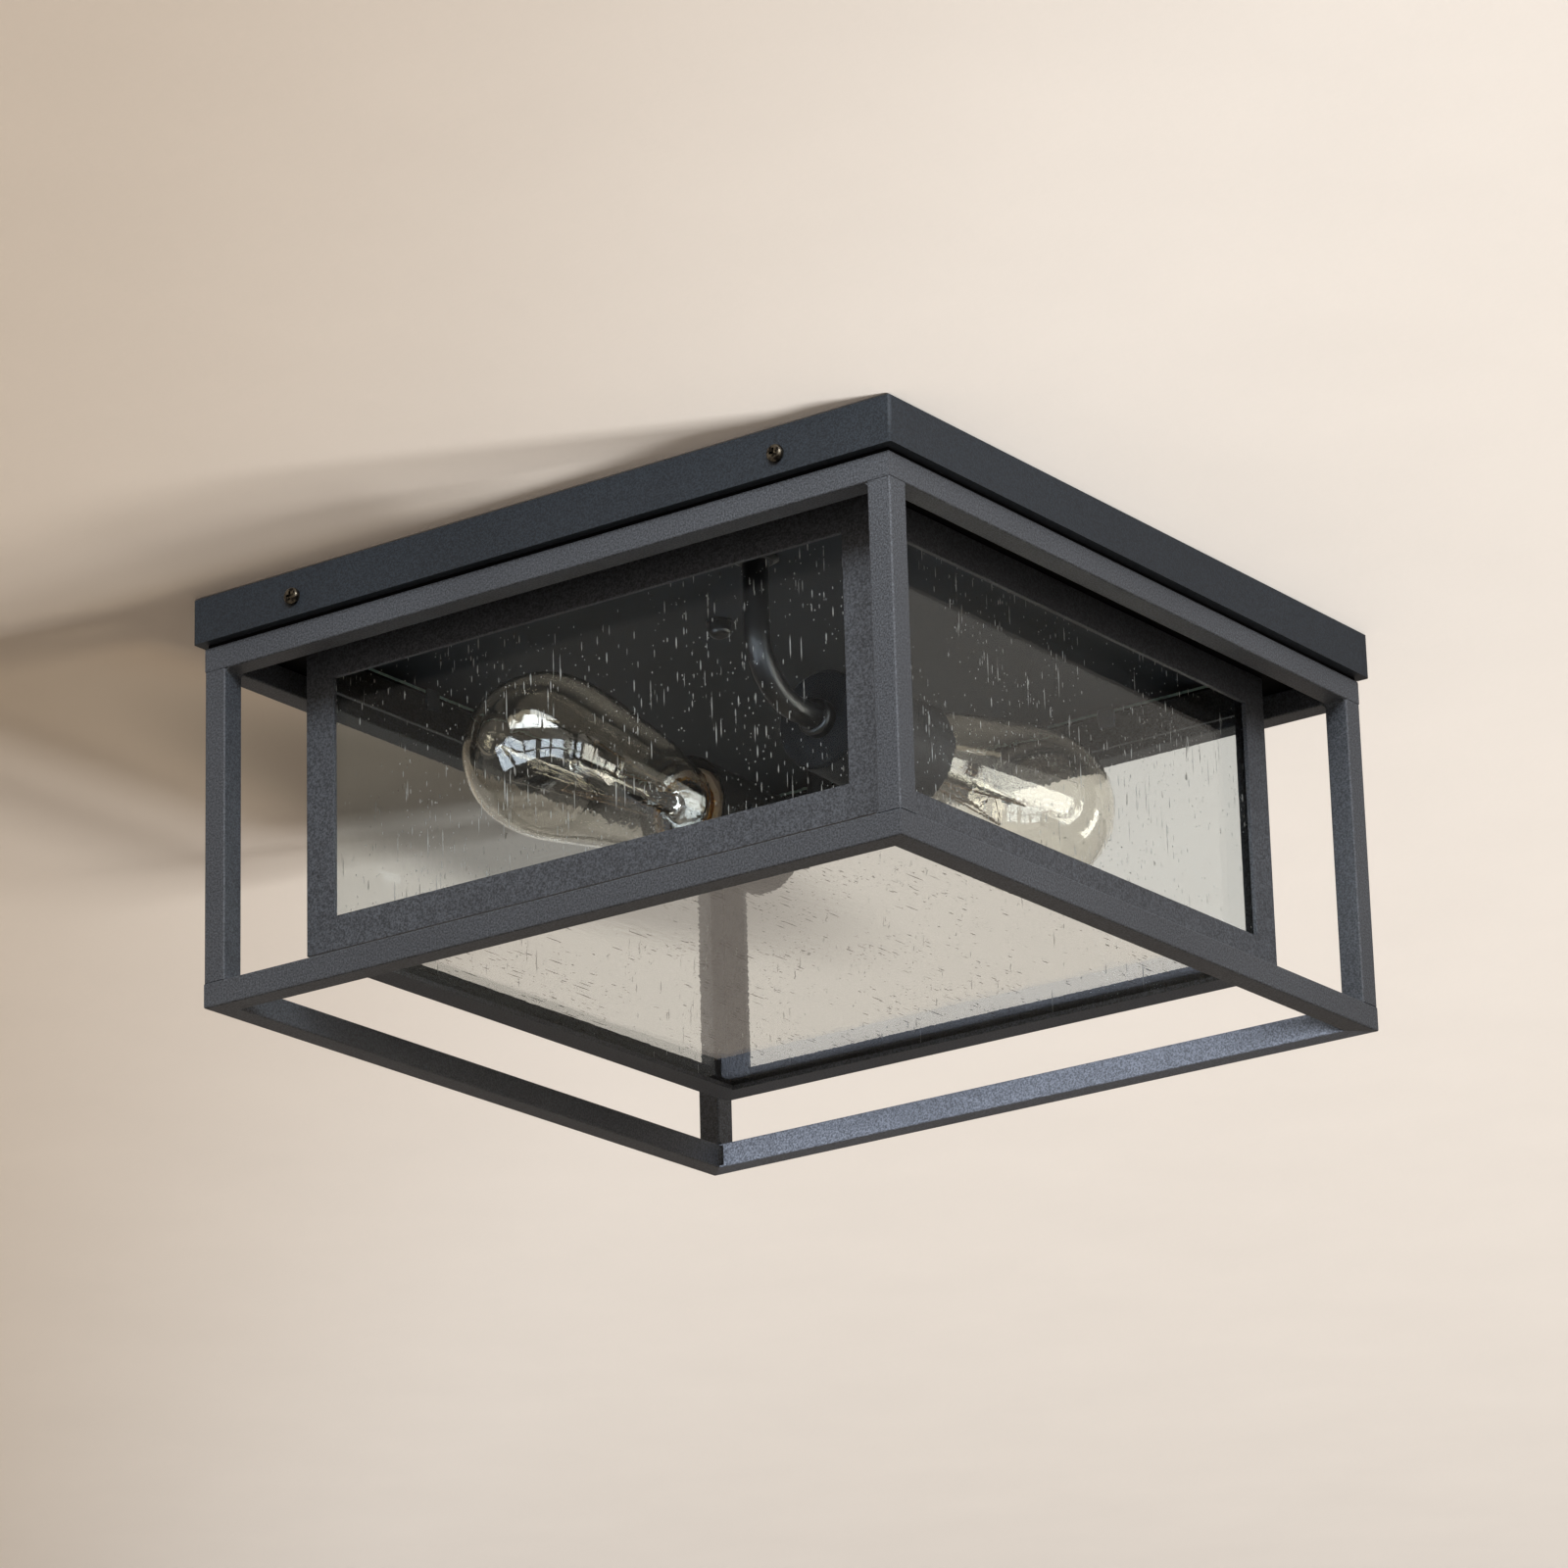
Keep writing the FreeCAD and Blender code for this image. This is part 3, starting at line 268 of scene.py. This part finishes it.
def pane_glass(name, tint, mirror, stretch):
    """Drawn glass: clear through its face, deep green through its edge."""
    finish, tree, out = glass(name, tint, mirror, WINDOW_GLASS, "#DCD8D2", ripple=3.0,
                              ripple_height=0.008, wave=16.0, wave_height=0.045, stretch=stretch)
    green = add(tree, "VolumeAbsorption", {"Color": linear("#8CC0B4"), "Density": IRON_GREEN})
    tree.links.new(green.outputs[0], out.inputs["Volume"])
    return finish


upright_glass = pane_glass("drawn_glass_upright", "#EFF3F5", "#4E575F", (1.0, 1.0, 0.3))
level_glass = pane_glass("drawn_glass_level", "#FCFBF8", "#FFFFFF", (1.0, 0.3, 1.0))


def blown_amber_glass():
    """Almost clear face on and amber where the eye looks along its wall."""
    finish, tree, out = glass("blown_amber_glass", "#FBFAF6", "#FFFFFF", LAMP_GLASS, "#F3EAD6",
                              ripple=9.0, ripple_height=0.004, wave=30.0, wave_height=0.05)
    amber = add(tree, "VolumeAbsorption", {"Color": linear("#FFE3A8"), "Density": AMBER})
    tree.links.new(amber.outputs[0], out.inputs["Volume"])
    return finish


amber_glass = blown_amber_glass()
stem_glass = glass("lead_glass_stem", "#F4F6F4", "#FFFFFF", LEAD_GLASS, "#DFE3E0", ripple=3.0,
                   ripple_height=0.01, wave=12.0, wave_height=0.03)[0]
print("glasses:", upright_glass.name, level_glass.name, amber_glass.name, stem_glass.name)

# %% [markdown]
# ## Porcelain, dark glass and filament
# Each lampholder is glazed porcelain, with a speck here and there in the glaze. Between
# the lamp's brass base and its contact is a black glass bead. The filament is a thin
# carbonised wire, dull grey-brown when the lamp is off.

# %% Three small finishes
SPECK_EDGE = 0.08     # share of the noise over which a speck fades into the ground
SPECK_HEIGHT = 0.05


def speckled(name, ground, speck, size, share, rough, metal):
    """One tone with specks of another; a larger share gives more specks."""
    finish, tree = new_finish(name)
    place = add(tree, "TexCoord").outputs["Object"]
    specks = add(tree, "TexNoise", {"Vector": place, "Scale": per_metre(size), "Detail": 3.0})
    tone = add(tree, "ValToRGB", {"Fac": specks.outputs["Fac"]})
    tone.color_ramp.elements[0].position = 1.0 - share - SPECK_EDGE
    tone.color_ramp.elements[0].color = linear(ground)
    tone.color_ramp.elements[1].position = 1.0 - share
    tone.color_ramp.elements[1].color = linear(speck)
    skin = add(tree, "Bump", {"Height": specks.outputs["Fac"], "Strength": 0.15,
                              "Distance": SPECK_HEIGHT * MM})
    body = add(tree, "BsdfPrincipled", {"Base Color": tone.outputs["Color"], "Roughness": rough,
                                        "Metallic": metal, "Normal": skin.outputs["Normal"]})
    add(tree, "OutputMaterial", {"Surface": body.outputs[0]})
    return finish


porcelain = speckled("glazed_porcelain", "#EDEAE2", "#C9C2B2", 2.0, 0.3, 0.18, 0.0)
black_glass = speckled("black_vitrite", "#141316", "#2A2730", 1.5, 0.4, 0.15, 0.0)
filament = speckled("carbonised_wire", "#4A4038", "#7A6C5C", 0.8, 0.45, 0.45, 1.0)
print("small finishes:", porcelain.name, black_glass.name, filament.name)

# %% [markdown]
# ## Dress the pieces
# The imported record says which finish each piece belongs to, so the finishes are handed out
# by that name. Three kinds leave the tube's powder coat: the arms and their small parts
# take the smoother enamel, sheet metal takes the darker copy with painted shade, and the cups
# and the hidden plate have their own darker copies with painted shade. The bottom pane has its
# own glass because it was cut with the draw lying level.

# %% Hand out the finishes
FINISH_OF = {
    "black_powder_coat": powder_coat, "black_screw": oxide_steel, "zinc_steel": zinc_plate,
    "green_screw": green_plate, "seeded_glass": upright_glass, "porcelain": porcelain,
    "brass": rolled_brass, "amber_glass": amber_glass, "stem_glass": stem_glass,
    "dark_insulator": black_glass, "filament_wire": filament,
}
OWN_FINISH = {"top_plate": painted_shade_plate_coat, "pane_bottom": level_glass}
OWN_FINISH.update(dict.fromkeys(("arm_a", "arm_b", "arm_collars", "arm_washers", "cap_nuts"), enamel))
OWN_FINISH.update(dict.fromkeys(("skirt", "tray", "pane_clips"), shaded_sheet_coat))
OWN_FINISH.update(dict.fromkeys(("cup_a", "cup_b"), shaded_cup_coat))

for part in frame["record"]["subparts"]:
    finish = OWN_FINISH.get(part["node"], FINISH_OF[part["material_slot"]])
    for slot in nodes[part["node"]].material_slots:
        slot.material = finish

# %% [markdown]
# ## Soft edges on the sheet metal
# Paint pools away from a sharp edge, so a painted sheet never ends in a knife edge. Those
# soft edges draw the thin light lines along the skirt and the frame. A bevel modifier
# rounds them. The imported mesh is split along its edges, so it is welded first.

# %% Round the painted edges
EDGE = 0.35
FOLD = 1.0            # outside of the ledge folded along the frame's foot
SPLIT = 0.002         # corners closer than this belong together
SHARP = math.radians(40)
SHEET_PIECES = [name for name in nodes
                if name.startswith("frame_") or name in ("skirt", "top_plate", "tray", "pane_clips")]

for name in SHEET_PIECES:
    weld = nodes[name].modifiers.new("join_faces", "WELD")
    weld.merge_threshold = SPLIT * MM
    bevel = nodes[name].modifiers.new("paint_edge", "BEVEL")
    bevel.width = (FOLD if name == "frame_foot_rails" else EDGE) * MM
    bevel.segments = 2
    bevel.limit_method = "ANGLE"
    bevel.angle_limit = SHARP
    bevel.harden_normals = True
print("rounded the edges of", len(SHEET_PIECES), "pieces by", EDGE, "mm")

# %% [markdown]
# ## Seeds in the glass
# Seeded glass holds bubbles. They were round while the glass was soft, and drawing it
# pulled some of them into needles along the draw. A bubble gathers light from all round
# it, so it shows pale against the dark tray and dark against the pale ceiling. Each one is
# a stretched ball of its own, just under the pane's outer face. A true air bubble is too
# small for its bending to show at this distance, so its skin is part clear and part
# scattering instead, more so in some bubbles than in others. Those of the bottom pane are
# only ever seen against the bright ceiling, so their skin is painted darker: painted shade
# for the dark look a bubble has against bright light.

# %% The bubble's skin
SEED_PATCH = 6.0


def bubble_skin(name, tone, least, most):
    """Part clear, part scattering; least and most are the scattering shares."""
    finish, tree = new_finish(name)
    place = add(tree, "TexCoord").outputs["Object"]
    crowd = add(tree, "TexNoise", {"Vector": place, "Scale": per_metre(SEED_PATCH), "Detail": 2.0})
    share = add(tree, "MapRange", {"Value": crowd.outputs["Fac"], "From Min": 0.35, "From Max": 0.7,
                                   "To Min": least, "To Max": most})
    gather = add(tree, "BsdfDiffuse", {"Color": linear(tone)})
    pass_on = add(tree, "BsdfTranslucent", {"Color": linear(tone)})
    clear = add(tree, "BsdfTransparent")
    light = add(tree, "MixShader", {1: gather.outputs[0], 2: pass_on.outputs[0]})
    skin = add(tree, "MixShader", {0: share.outputs[0], 1: clear.outputs[0], 2: light.outputs[0]})
    add(tree, "OutputMaterial", {"Surface": skin.outputs[0]})
    return finish


pale_air = bubble_skin("air_in_upright_glass", "#E6EDF0", 0.20, 0.80)
# A darker copy of the skin: painted shade for bubbles seen against the bright ceiling.
dark_air = bubble_skin("air_in_level_glass", "#77726B", 0.35, 0.80)
print("skins:", pale_air.name, dark_air.name)

# %% [markdown]
# A few thousand bubbles need a cheap ball, and at this size twenty flat faces are enough.
# It has a top, two rings of five corners turned against each other, and a bottom. Most
# bubbles stay nearly round, a third are drawn out, and a few are long needles.

# %% Air bubbles
SEED_MARGIN = 4.0
SEED_RADII = (0.12, 0.32)
SEED_DEPTH = 0.15
SEED_KINDS = [(0.62, 1.0, 1.8), (0.32, 3.0, 9.0), (0.06, 12.0, 24.0)]   # share, least and most stretch
CLUSTER = 45.0
SPARSE, CROWDED = -0.5, 0.3     # the range in which a bubble's chance follows the clusters
BALL_DECIMALS = 3               # three decimals of a corner's place are plenty at this size


def ball():
    """Corners and faces of a ball of radius 1 with twenty sides."""
    height, reach, turn_to = 1 / math.sqrt(5), 2 / math.sqrt(5), math.radians(36)
    rings = [(reach * math.cos(turn_to * (first + 2 * k)), reach * math.sin(turn_to * (first + 2 * k)), z)
             for first, z in ((0, height), (1, -height)) for k in range(5)]
    corners = [Vector([round(part, BALL_DECIMALS) for part in corner]).normalized()
               for corner in [(0, 0, 1)] + rings + [(0, 0, -1)]]
    pairs = [(k, (k + 1) % 5) for k in range(5)]
    faces = ([(0, 1 + k, 1 + n) for k, n in pairs] + [(1 + k, 6 + k, 1 + n) for k, n in pairs] +
             [(1 + n, 6 + k, 6 + n) for k, n in pairs] + [(6 + k, 11, 6 + n) for k, n in pairs])
    return corners, faces


BALL, BALL_FACES = ball()


def new_piece(name, corners, faces, finish):
    """A mesh object in the scene with one finish."""
    mesh = bpy.data.meshes.new(name)
    mesh.from_pydata(corners, [], faces)
    mesh.materials.append(finish)
    piece = bpy.data.objects.new(name, mesh)
    bpy.context.scene.collection.objects.link(piece)
    return piece


def seeds_in(pane, draw_axis, per_square_cm, luck, skin):
    """Stretched bubbles inside one pane, crowded in some places and sparse in others."""
    dice = random.Random(luck)
    low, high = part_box(pane)
    size = high - low
    thin = min(range(3), key=lambda i: size[i])
    area = size[(thin + 1) % 3] * size[(thin + 2) % 3] / CM ** 2
    shares = [kind[0] for kind in SEED_KINDS]
    corners, faces = [], []
    for _ in range(int(area * per_square_cm)):
        middle = Vector([dice.uniform(low[i] + SEED_MARGIN * MM, high[i] - SEED_MARGIN * MM)
                         for i in range(3)])
        if noise.noise(middle / (CLUSTER * MM)) < dice.uniform(SPARSE, CROWDED):
            continue
        _, short, long = dice.choices(SEED_KINDS, shares)[0]
        radius = dice.uniform(*SEED_RADII) * MM
        outside = low[thin] if abs(low[thin]) > abs(high[thin]) else high[thin]
        middle[thin] = outside - math.copysign(radius + SEED_DEPTH * MM, outside)
        stretch = Vector([radius] * 3)
        stretch[draw_axis] = radius * dice.uniform(short, long)
        start = len(corners)
        corners += [middle + corner * stretch for corner in BALL]
        faces += [[start + i for i in face] for face in BALL_FACES]
    seeds = new_piece(pane.replace("pane_", "seeds_"), corners, faces, skin)
    seeds.data.shade_smooth()
    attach(seeds, "cage")
    return len(faces) // len(BALL_FACES)


UP, ALONG = 2, 1
SEEDS_PER_SQUARE_CM = {"pane_front": 7.0, "pane_right": 6.0, "pane_back": 2.0, "pane_left": 2.0}
for luck, (pane, crowding) in enumerate(SEEDS_PER_SQUARE_CM.items()):
    print(pane, "has", seeds_in(pane, UP, crowding, luck, pale_air), "seeds")
print("pane_bottom has", seeds_in("pane_bottom", ALONG, 6.0, 9, dark_air), "seeds")

# %% [markdown]
# ## Ground rims
# The edge of each side pane is ground with a coarse wheel, which leaves it frosted, and the
# light that travels along inside the glass comes out there. From inside the lantern it shows
# as a thin pale green line over the frame's top rail. It is a strip of 1.1 mm on the inner
# face of each pane, along its top edge, whose pale tone is partly the frosting and partly
# painted light for the glow out of the edge.

# %% Frosted strips
RIM_HEIGHT, RIM_THICK, RIM_INSET = 1.1, 0.1, 4.0
CHIP = 3.0            # the wheel's real 0.2 mm scratches, drawn coarser
BOX_FACES = [(0, 1, 3, 2), (4, 6, 7, 5), (0, 4, 5, 1), (2, 3, 7, 6), (0, 2, 6, 4), (1, 5, 7, 3)]


def ground_glass():
    """Matt pale green, lighter where the wheel bit deeper."""
    finish, tree = new_finish("ground_glass_rim")
    place = add(tree, "TexCoord").outputs["Object"]
    chips = add(tree, "TexNoise", {"Vector": place, "Scale": per_metre(CHIP), "Detail": 2.0})
    # The pale tone is partly the frosting and partly painted light for the glow out of the edge.
    tone = add(tree, "ValToRGB", {"Fac": chips.outputs["Fac"]})
    tone.color_ramp.elements[0].color = linear("#5E7C7C")
    tone.color_ramp.elements[1].color = linear("#B4D4D2")
    matt = add(tree, "BsdfDiffuse", {"Color": tone.outputs["Color"], "Roughness": 0.5})
    add(tree, "OutputMaterial", {"Surface": matt.outputs[0]})
    return finish


frosted = ground_glass()
for pane in SEEDS_PER_SQUARE_CM:
    low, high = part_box(pane)
    thin = 0 if high.x - low.x < high.y - low.y else 1
    inner_face = min((low[thin], high[thin]), key=abs)
    near = Vector(low) + Vector([RIM_INSET * MM] * 3)
    far = Vector(high) - Vector([RIM_INSET * MM] * 3)
    near[thin], far[thin] = inner_face, inner_face - math.copysign(RIM_THICK * MM, inner_face)
    near.z, far.z = high.z - RIM_HEIGHT * MM, high.z
    corners = [(x, y, z) for x in (near.x, far.x) for y in (near.y, far.y) for z in (near.z, far.z)]
    rim = new_piece(pane.replace("pane_", "rim_"), corners, BOX_FACES, frosted)
    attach(rim, "cage")

# %% [markdown]
# ## The porch
# The lantern hangs under a ceiling of warm, pale plaster. The ceiling is a flat sheet whose
# front looks down. From above it is see-through, so that the back of the lantern can be
# looked at, and it has a hole over the tray, as a real ceiling has its box. The plaster's
# colour carries painted shade: it darkens towards the far left, where the daylight fades, and
# beside the lantern's left corner, as a painted shadow of the lantern hiding it from the bright
# side. A pale floor lies a storey below and sends soft light up; its plaster has the same
# painted fall-off, faintly. The panes would mirror the brightest plaster, which stands for
# daylight here, as a grey veil, so mirrored rays pass it by and meet the sky.

# %% Ceiling and floor
ROOM_HEIGHT = 2.6
ROOM_HALF = 2.4
TROWEL, SAND, SAND_HEIGHT = 90.0, 4.0, 0.3
# The plaster's tone is painted: painted shade towards the far left, painted shadow beside the lantern's
# left corner.
DAYLIGHT_SIDE = (0.70, 0.74, 0.0)        # the way towards the bright side
DUSK, DAY = -0.40, 0.10                  # metres along it, between which the plaster brightens
SHADE_MIDDLE = (-0.245, 0.150, 0.0)      # the soft shade beside the left corner
SHADE_SQUEEZE = (13.0, 4.2, 1.0)         # narrow across the ceiling, long along the lantern
SHADE_CORE, SHADE_EDGE = 0.55, 1.15


def plaster(name, pale, shaded, deepest):
    """Trowelled plaster with painted shade, seen from its front only; deepest is the tone left in the
    painted shadow.
    """
    finish, tree = new_finish(name)
    place = add(tree, "TexCoord").outputs["Object"]
    trowel = add(tree, "TexNoise", {"Vector": place, "Scale": per_metre(TROWEL), "Detail": 5.0})
    grain = add(tree, "TexNoise", {"Vector": place, "Scale": per_metre(SAND), "Detail": 3.0})
    # Painted shade: darker towards the far left, and a painted shadow beside the lantern's left corner.
    across = add(tree, "VectorMath", {0: place, 1: DAYLIGHT_SIDE}, operation="DOT_PRODUCT")
    daylit = add(tree, "MapRange", {"Value": across.outputs["Value"], "From Min": DUSK, "From Max": DAY},
                 interpolation_type="SMOOTHSTEP")
    tone = add(tree, "Mix", {"Factor": daylit.outputs[0], 6: linear(shaded), 7: linear(pale)},
               data_type="RGBA")
    patchy = add(tree, "MapRange", {"Value": trowel.outputs["Fac"], "To Min": 0.97, "To Max": 1.03})
    beside = add(tree, "VectorMath", {0: place, 1: SHADE_MIDDLE}, operation="SUBTRACT")
    inside = add(tree, "VectorMath", {0: beside.outputs[0], 1: SHADE_SQUEEZE}, operation="MULTIPLY")
    away = add(tree, "VectorMath", {0: inside.outputs[0]}, operation="LENGTH")
    hidden = add(tree, "MapRange", {"Value": away.outputs["Value"], "From Min": SHADE_CORE,
                                    "From Max": SHADE_EDGE, "To Min": deepest, "To Max": 1.0},
                 interpolation_type="SMOOTHSTEP")
    shade = add(tree, "Math", {0: patchy.outputs[0], 1: hidden.outputs[0]}, operation="MULTIPLY")
    skin_tone = add(tree, "VectorMath", {0: tone.outputs[2], "Scale": shade.outputs[0]},
                    operation="SCALE")
    skin = add(tree, "Bump", {"Height": grain.outputs["Fac"], "Strength": 0.2,
                              "Distance": SAND_HEIGHT * MM})
    matt = add(tree, "BsdfDiffuse", {"Color": skin_tone.outputs[0], "Normal": skin.outputs["Normal"]})
    clear = add(tree, "BsdfTransparent")
    side = add(tree, "NewGeometry")
    sheet = add(tree, "MixShader", {0: side.outputs["Backfacing"], 1: matt.outputs[0], 2: clear.outputs[0]})
    add(tree, "OutputMaterial", {"Surface": sheet.outputs[0]})
    return finish


CEILING_GAP = 0.3     # over the tray's lip, so that the two faces don't fight
LIP_COVERED = 3.0     # how far the ceiling reaches in over the tray
tray_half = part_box("tray")[1].x - LIP_COVERED * MM


def square(half, height):
    """Four corners, anticlockwise from above."""
    return [(-half, -half, height), (half, -half, height), (half, half, height), (-half, half, height)]


ceiling_corners = square(tray_half, CEILING_GAP * MM) + square(ROOM_HALF, CEILING_GAP * MM)
ceiling_faces = [(i, (i + 1) % 4, 4 + (i + 1) % 4, 4 + i) for i in range(4)]
ceiling = new_piece("ceiling", ceiling_corners, ceiling_faces,
                    plaster("ceiling_plaster", "#ECE6DF", "#C6B9AA", deepest=0.5))
floor = new_piece("floor", square(ROOM_HALF, -ROOM_HEIGHT), [(0, 1, 2, 3)],
                  plaster("pale_floor", "#E4E0DA", "#DDD8D1", deepest=1.0))
ceiling.visible_glossy = False
print("ceiling faces down:", ceiling.data.polygons[0].normal.z < 0)

# %% [markdown]
# ## Light
# Daylight comes in round the edges of the porch, so the world is a pale light that fades
# low down, where the porch floor is. Three soft panels stand high on the viewer's side and
# light the faces we see from above, which keeps the top rail and the gap over it dark. They
# stand above the ceiling, as the open sky does, so they shine through it and leave it
# alone. The ceiling has a lamp of its own, far off to the right and low, that rakes it and
# throws the lantern's long soft shadow to the left. A small low panel is linked to the far
# foot bar alone, which the others can't reach past the skirt.

# %% The sky
LOW, HIGH = -0.75, -0.3         # how steeply down the sky starts and ends to fade
DIM, PLAIN = 0.04, 0.5

world = bpy.data.worlds.new("daylight")
bpy.context.scene.world = world
world.use_nodes = True
world.node_tree.nodes.clear()
sky = world.node_tree
toward = add(sky, "SeparateXYZ", {0: add(sky, "TexCoord").outputs["Generated"]})
low_sky = add(sky, "MapRange", {"Value": toward.outputs["Z"], "From Min": LOW, "From Max": HIGH,
                                "To Min": DIM, "To Max": PLAIN}, interpolation_type="SMOOTHSTEP")
daylight = add(sky, "Background", {"Color": linear("#F3E6DA"), "Strength": low_sky.outputs[0]})
add(sky, "OutputWorld", {"Surface": daylight.outputs[0]})
print("sky:", world.name, DIM, "to", PLAIN)


# %% Soft panels
def soft_panel(name, place, aim, width, height, watts, colour):
    """A rectangular lamp, in metres and watts, turned towards a point and never seen itself."""
    light = bpy.data.lights.new(name, "AREA")
    light.shape = "RECTANGLE"
    light.size = width
    light.size_y = height
    light.energy = watts
    light.color = linear(colour)[:3]
    panel = bpy.data.objects.new(name, light)
    panel.location = place
    panel.rotation_mode = "QUATERNION"
    panel.rotation_quaternion = (Vector(aim) - Vector(place)).to_track_quat("-Z", "Y")
    panel.visible_camera = False
    bpy.context.scene.collection.objects.link(panel)
    return panel


def light_link(panel, objects, state):
    """INCLUDE: the panel lights these objects alone. EXCLUDE: it lights everything else."""
    chosen = bpy.data.collections.new(panel.name + "_link")
    for thing in objects:
        chosen.objects.link(thing)
    panel.light_linking.receiver_collection = chosen
    for link in chosen.collection_objects:
        link.light_linking.link_state = state


def through_ceiling(panel):
    """Let a panel above the ceiling shine through it, as an open porch side would."""
    chosen = bpy.data.collections.new(panel.name + "_blockers")
    chosen.objects.link(ceiling)
    panel.light_linking.blocker_collection = chosen
    chosen.collection_objects[0].light_linking.link_state = "EXCLUDE"
    return panel


LANTERN_MIDDLE = (0.0, 0.0, -0.08)
FAR_BAR = (0.0, 0.16, -0.16)

rake = soft_panel("ceiling_panel", place=(7.5, 2.1, -4.95), aim=(0.0, 0.0, 0.0), width=1.8, height=1.8,
                  watts=1010.0, colour="#FFFFFF")
light_link(rake, [ceiling], "INCLUDE")
for name, place, watts, colour in (("front_panel", (0.40, -1.25, 0.62), 11.5, "#F6FAFF"),
                                   ("near_panel", (0.95, -0.95, 0.62), 12.0, "#F6FAFF"),
                                   ("right_panel", (1.35, 0.10, 0.55), 7.0, "#F8FAFF")):
    panel = soft_panel(name, place, LANTERN_MIDDLE, 0.6, 0.5, watts, colour)
    light_link(through_ceiling(panel), [ceiling], "EXCLUDE")
gleam = soft_panel("far_bar_panel", place=(0.9, -1.3, -0.25), aim=FAR_BAR, width=0.6, height=0.4,
                   watts=150.0, colour="#F2F5FF")
light_link(gleam, [nodes["cage_foot_back"]], "INCLUDE")

# %% [markdown]
# ## Windows in the lamps
# Blown glass is known by what it mirrors. Here it is the bright openings of the porch, split
# by their bars. Each opening is a panel of its own, on a circle round the lantern, and it is
# linked to the lamps and the panes alone. Those are clear, so the panel draws a bright shape
# on them and lights nothing else. The panes are in the link because the mirrored ray leaves
# through one of them. A ray that has met no mirror on its way finds the openings dark, so
# they never show straight through the glass when the lantern is looked at from behind.

# %% Bright openings round the porch
WINDOW_DISTANCE = 1.5
LAMPS_MIDDLE = (0.0, 0.0, -0.07)
WINDOW_ROWS, WINDOW_COLUMNS = (-7.0, -21.0), (-24.0, -3.0, 14.0, 38.0, 56.0, 78.0)     # degrees
WINDOW_WIDTH, WINDOW_HEIGHT, WINDOW_GLOW = 0.38, 0.30, 9.0
DOOR_ROW, DOOR_COLUMNS = -14.0, (98.0, 118.0, 138.0)
DOOR_WIDTH, DOOR_HEIGHT, DOOR_GLOW = 0.46, 0.70, 8.0
HALF_A_MIRROR = 0.5   # parts rays that met no mirror from those that met one or more
glass_pieces = [nodes[name] for name in nodes if name.startswith("lamp_glass") or
                (name.startswith("pane_") and name != "pane_clips")]


def opening(name, azimuth, elevation, width, height, glow, colour):
    """A bright panel seen from the lantern at an azimuth from -Y towards +X, in degrees."""
    turn_to, sink = math.radians(azimuth), math.radians(elevation)
    place = Vector((math.sin(turn_to) * math.cos(sink), -math.cos(turn_to) * math.cos(sink),
                    math.sin(sink))) * WINDOW_DISTANCE
    watts = glow * math.pi * width * height
    panel = soft_panel(name, place, LAMPS_MIDDLE, width, height, watts, colour)
    panel.data.use_nodes = True
    tree = panel.data.node_tree
    tree.nodes.clear()
    mirrors_met = add(tree, "LightPath").outputs["Glossy Depth"]
    shown = add(tree, "Math", {0: mirrors_met, 1: HALF_A_MIRROR}, operation="GREATER_THAN")
    lamp = add(tree, "Emission", {"Strength": shown.outputs[0]})
    add(tree, "OutputLight", {"Surface": lamp.outputs[0]})
    light_link(panel, glass_pieces, "INCLUDE")


for row, tilt_down in enumerate(WINDOW_ROWS):
    for column, azimuth in enumerate(WINDOW_COLUMNS):
        opening("porch_window_%d_%d" % (row, column), azimuth, tilt_down, WINDOW_WIDTH, WINDOW_HEIGHT,
                WINDOW_GLOW, "#EAF2FF")
for column, azimuth in enumerate(DOOR_COLUMNS):
    opening("porch_door_%d" % column, azimuth, DOOR_ROW, DOOR_WIDTH, DOOR_HEIGHT, DOOR_GLOW, "#FFF6E8")

# %% [markdown]
# ## Camera
# The viewer stands off the near corner, below the lantern, and looks up at it. The lens is
# long, so the picture is nearly free of perspective. Its place and tilt were found from
# the lantern's own corners in the photograph.

# %% Place the camera
AZIMUTH, ELEVATION, TILT = 35.66, -18.71, -1.58       # degrees
CAMERA_PLACE = Vector((1.3372, -1.8698, -0.8474))     # metres
LENS, SENSOR = 143.08, 36.0                           # millimetres

turn, rise, tilt = (math.radians(angle) for angle in (AZIMUTH, ELEVATION, TILT))
back = Vector((math.sin(turn) * math.cos(rise), -math.cos(turn) * math.cos(rise), math.sin(rise)))
level = (-back).cross(Vector((0, 0, 1))).normalized()
upright = level.cross(-back)
right = math.cos(tilt) * level + math.sin(tilt) * upright
up = math.cos(tilt) * upright - math.sin(tilt) * level

camera_data = bpy.data.cameras.new("viewer")
camera_data.lens = LENS
camera_data.sensor_width = SENSOR
camera = bpy.data.objects.new("viewer", camera_data)
facing = Matrix((right, up, back)).transposed().to_4x4()
camera.matrix_world = Matrix.Translation(CAMERA_PLACE) @ facing
bpy.context.scene.collection.objects.link(camera)
bpy.context.scene.camera = camera
bpy.context.scene.view_settings.view_transform = "Standard"
print("camera is", round(CAMERA_PLACE.length, 2), "m from the lantern's middle")
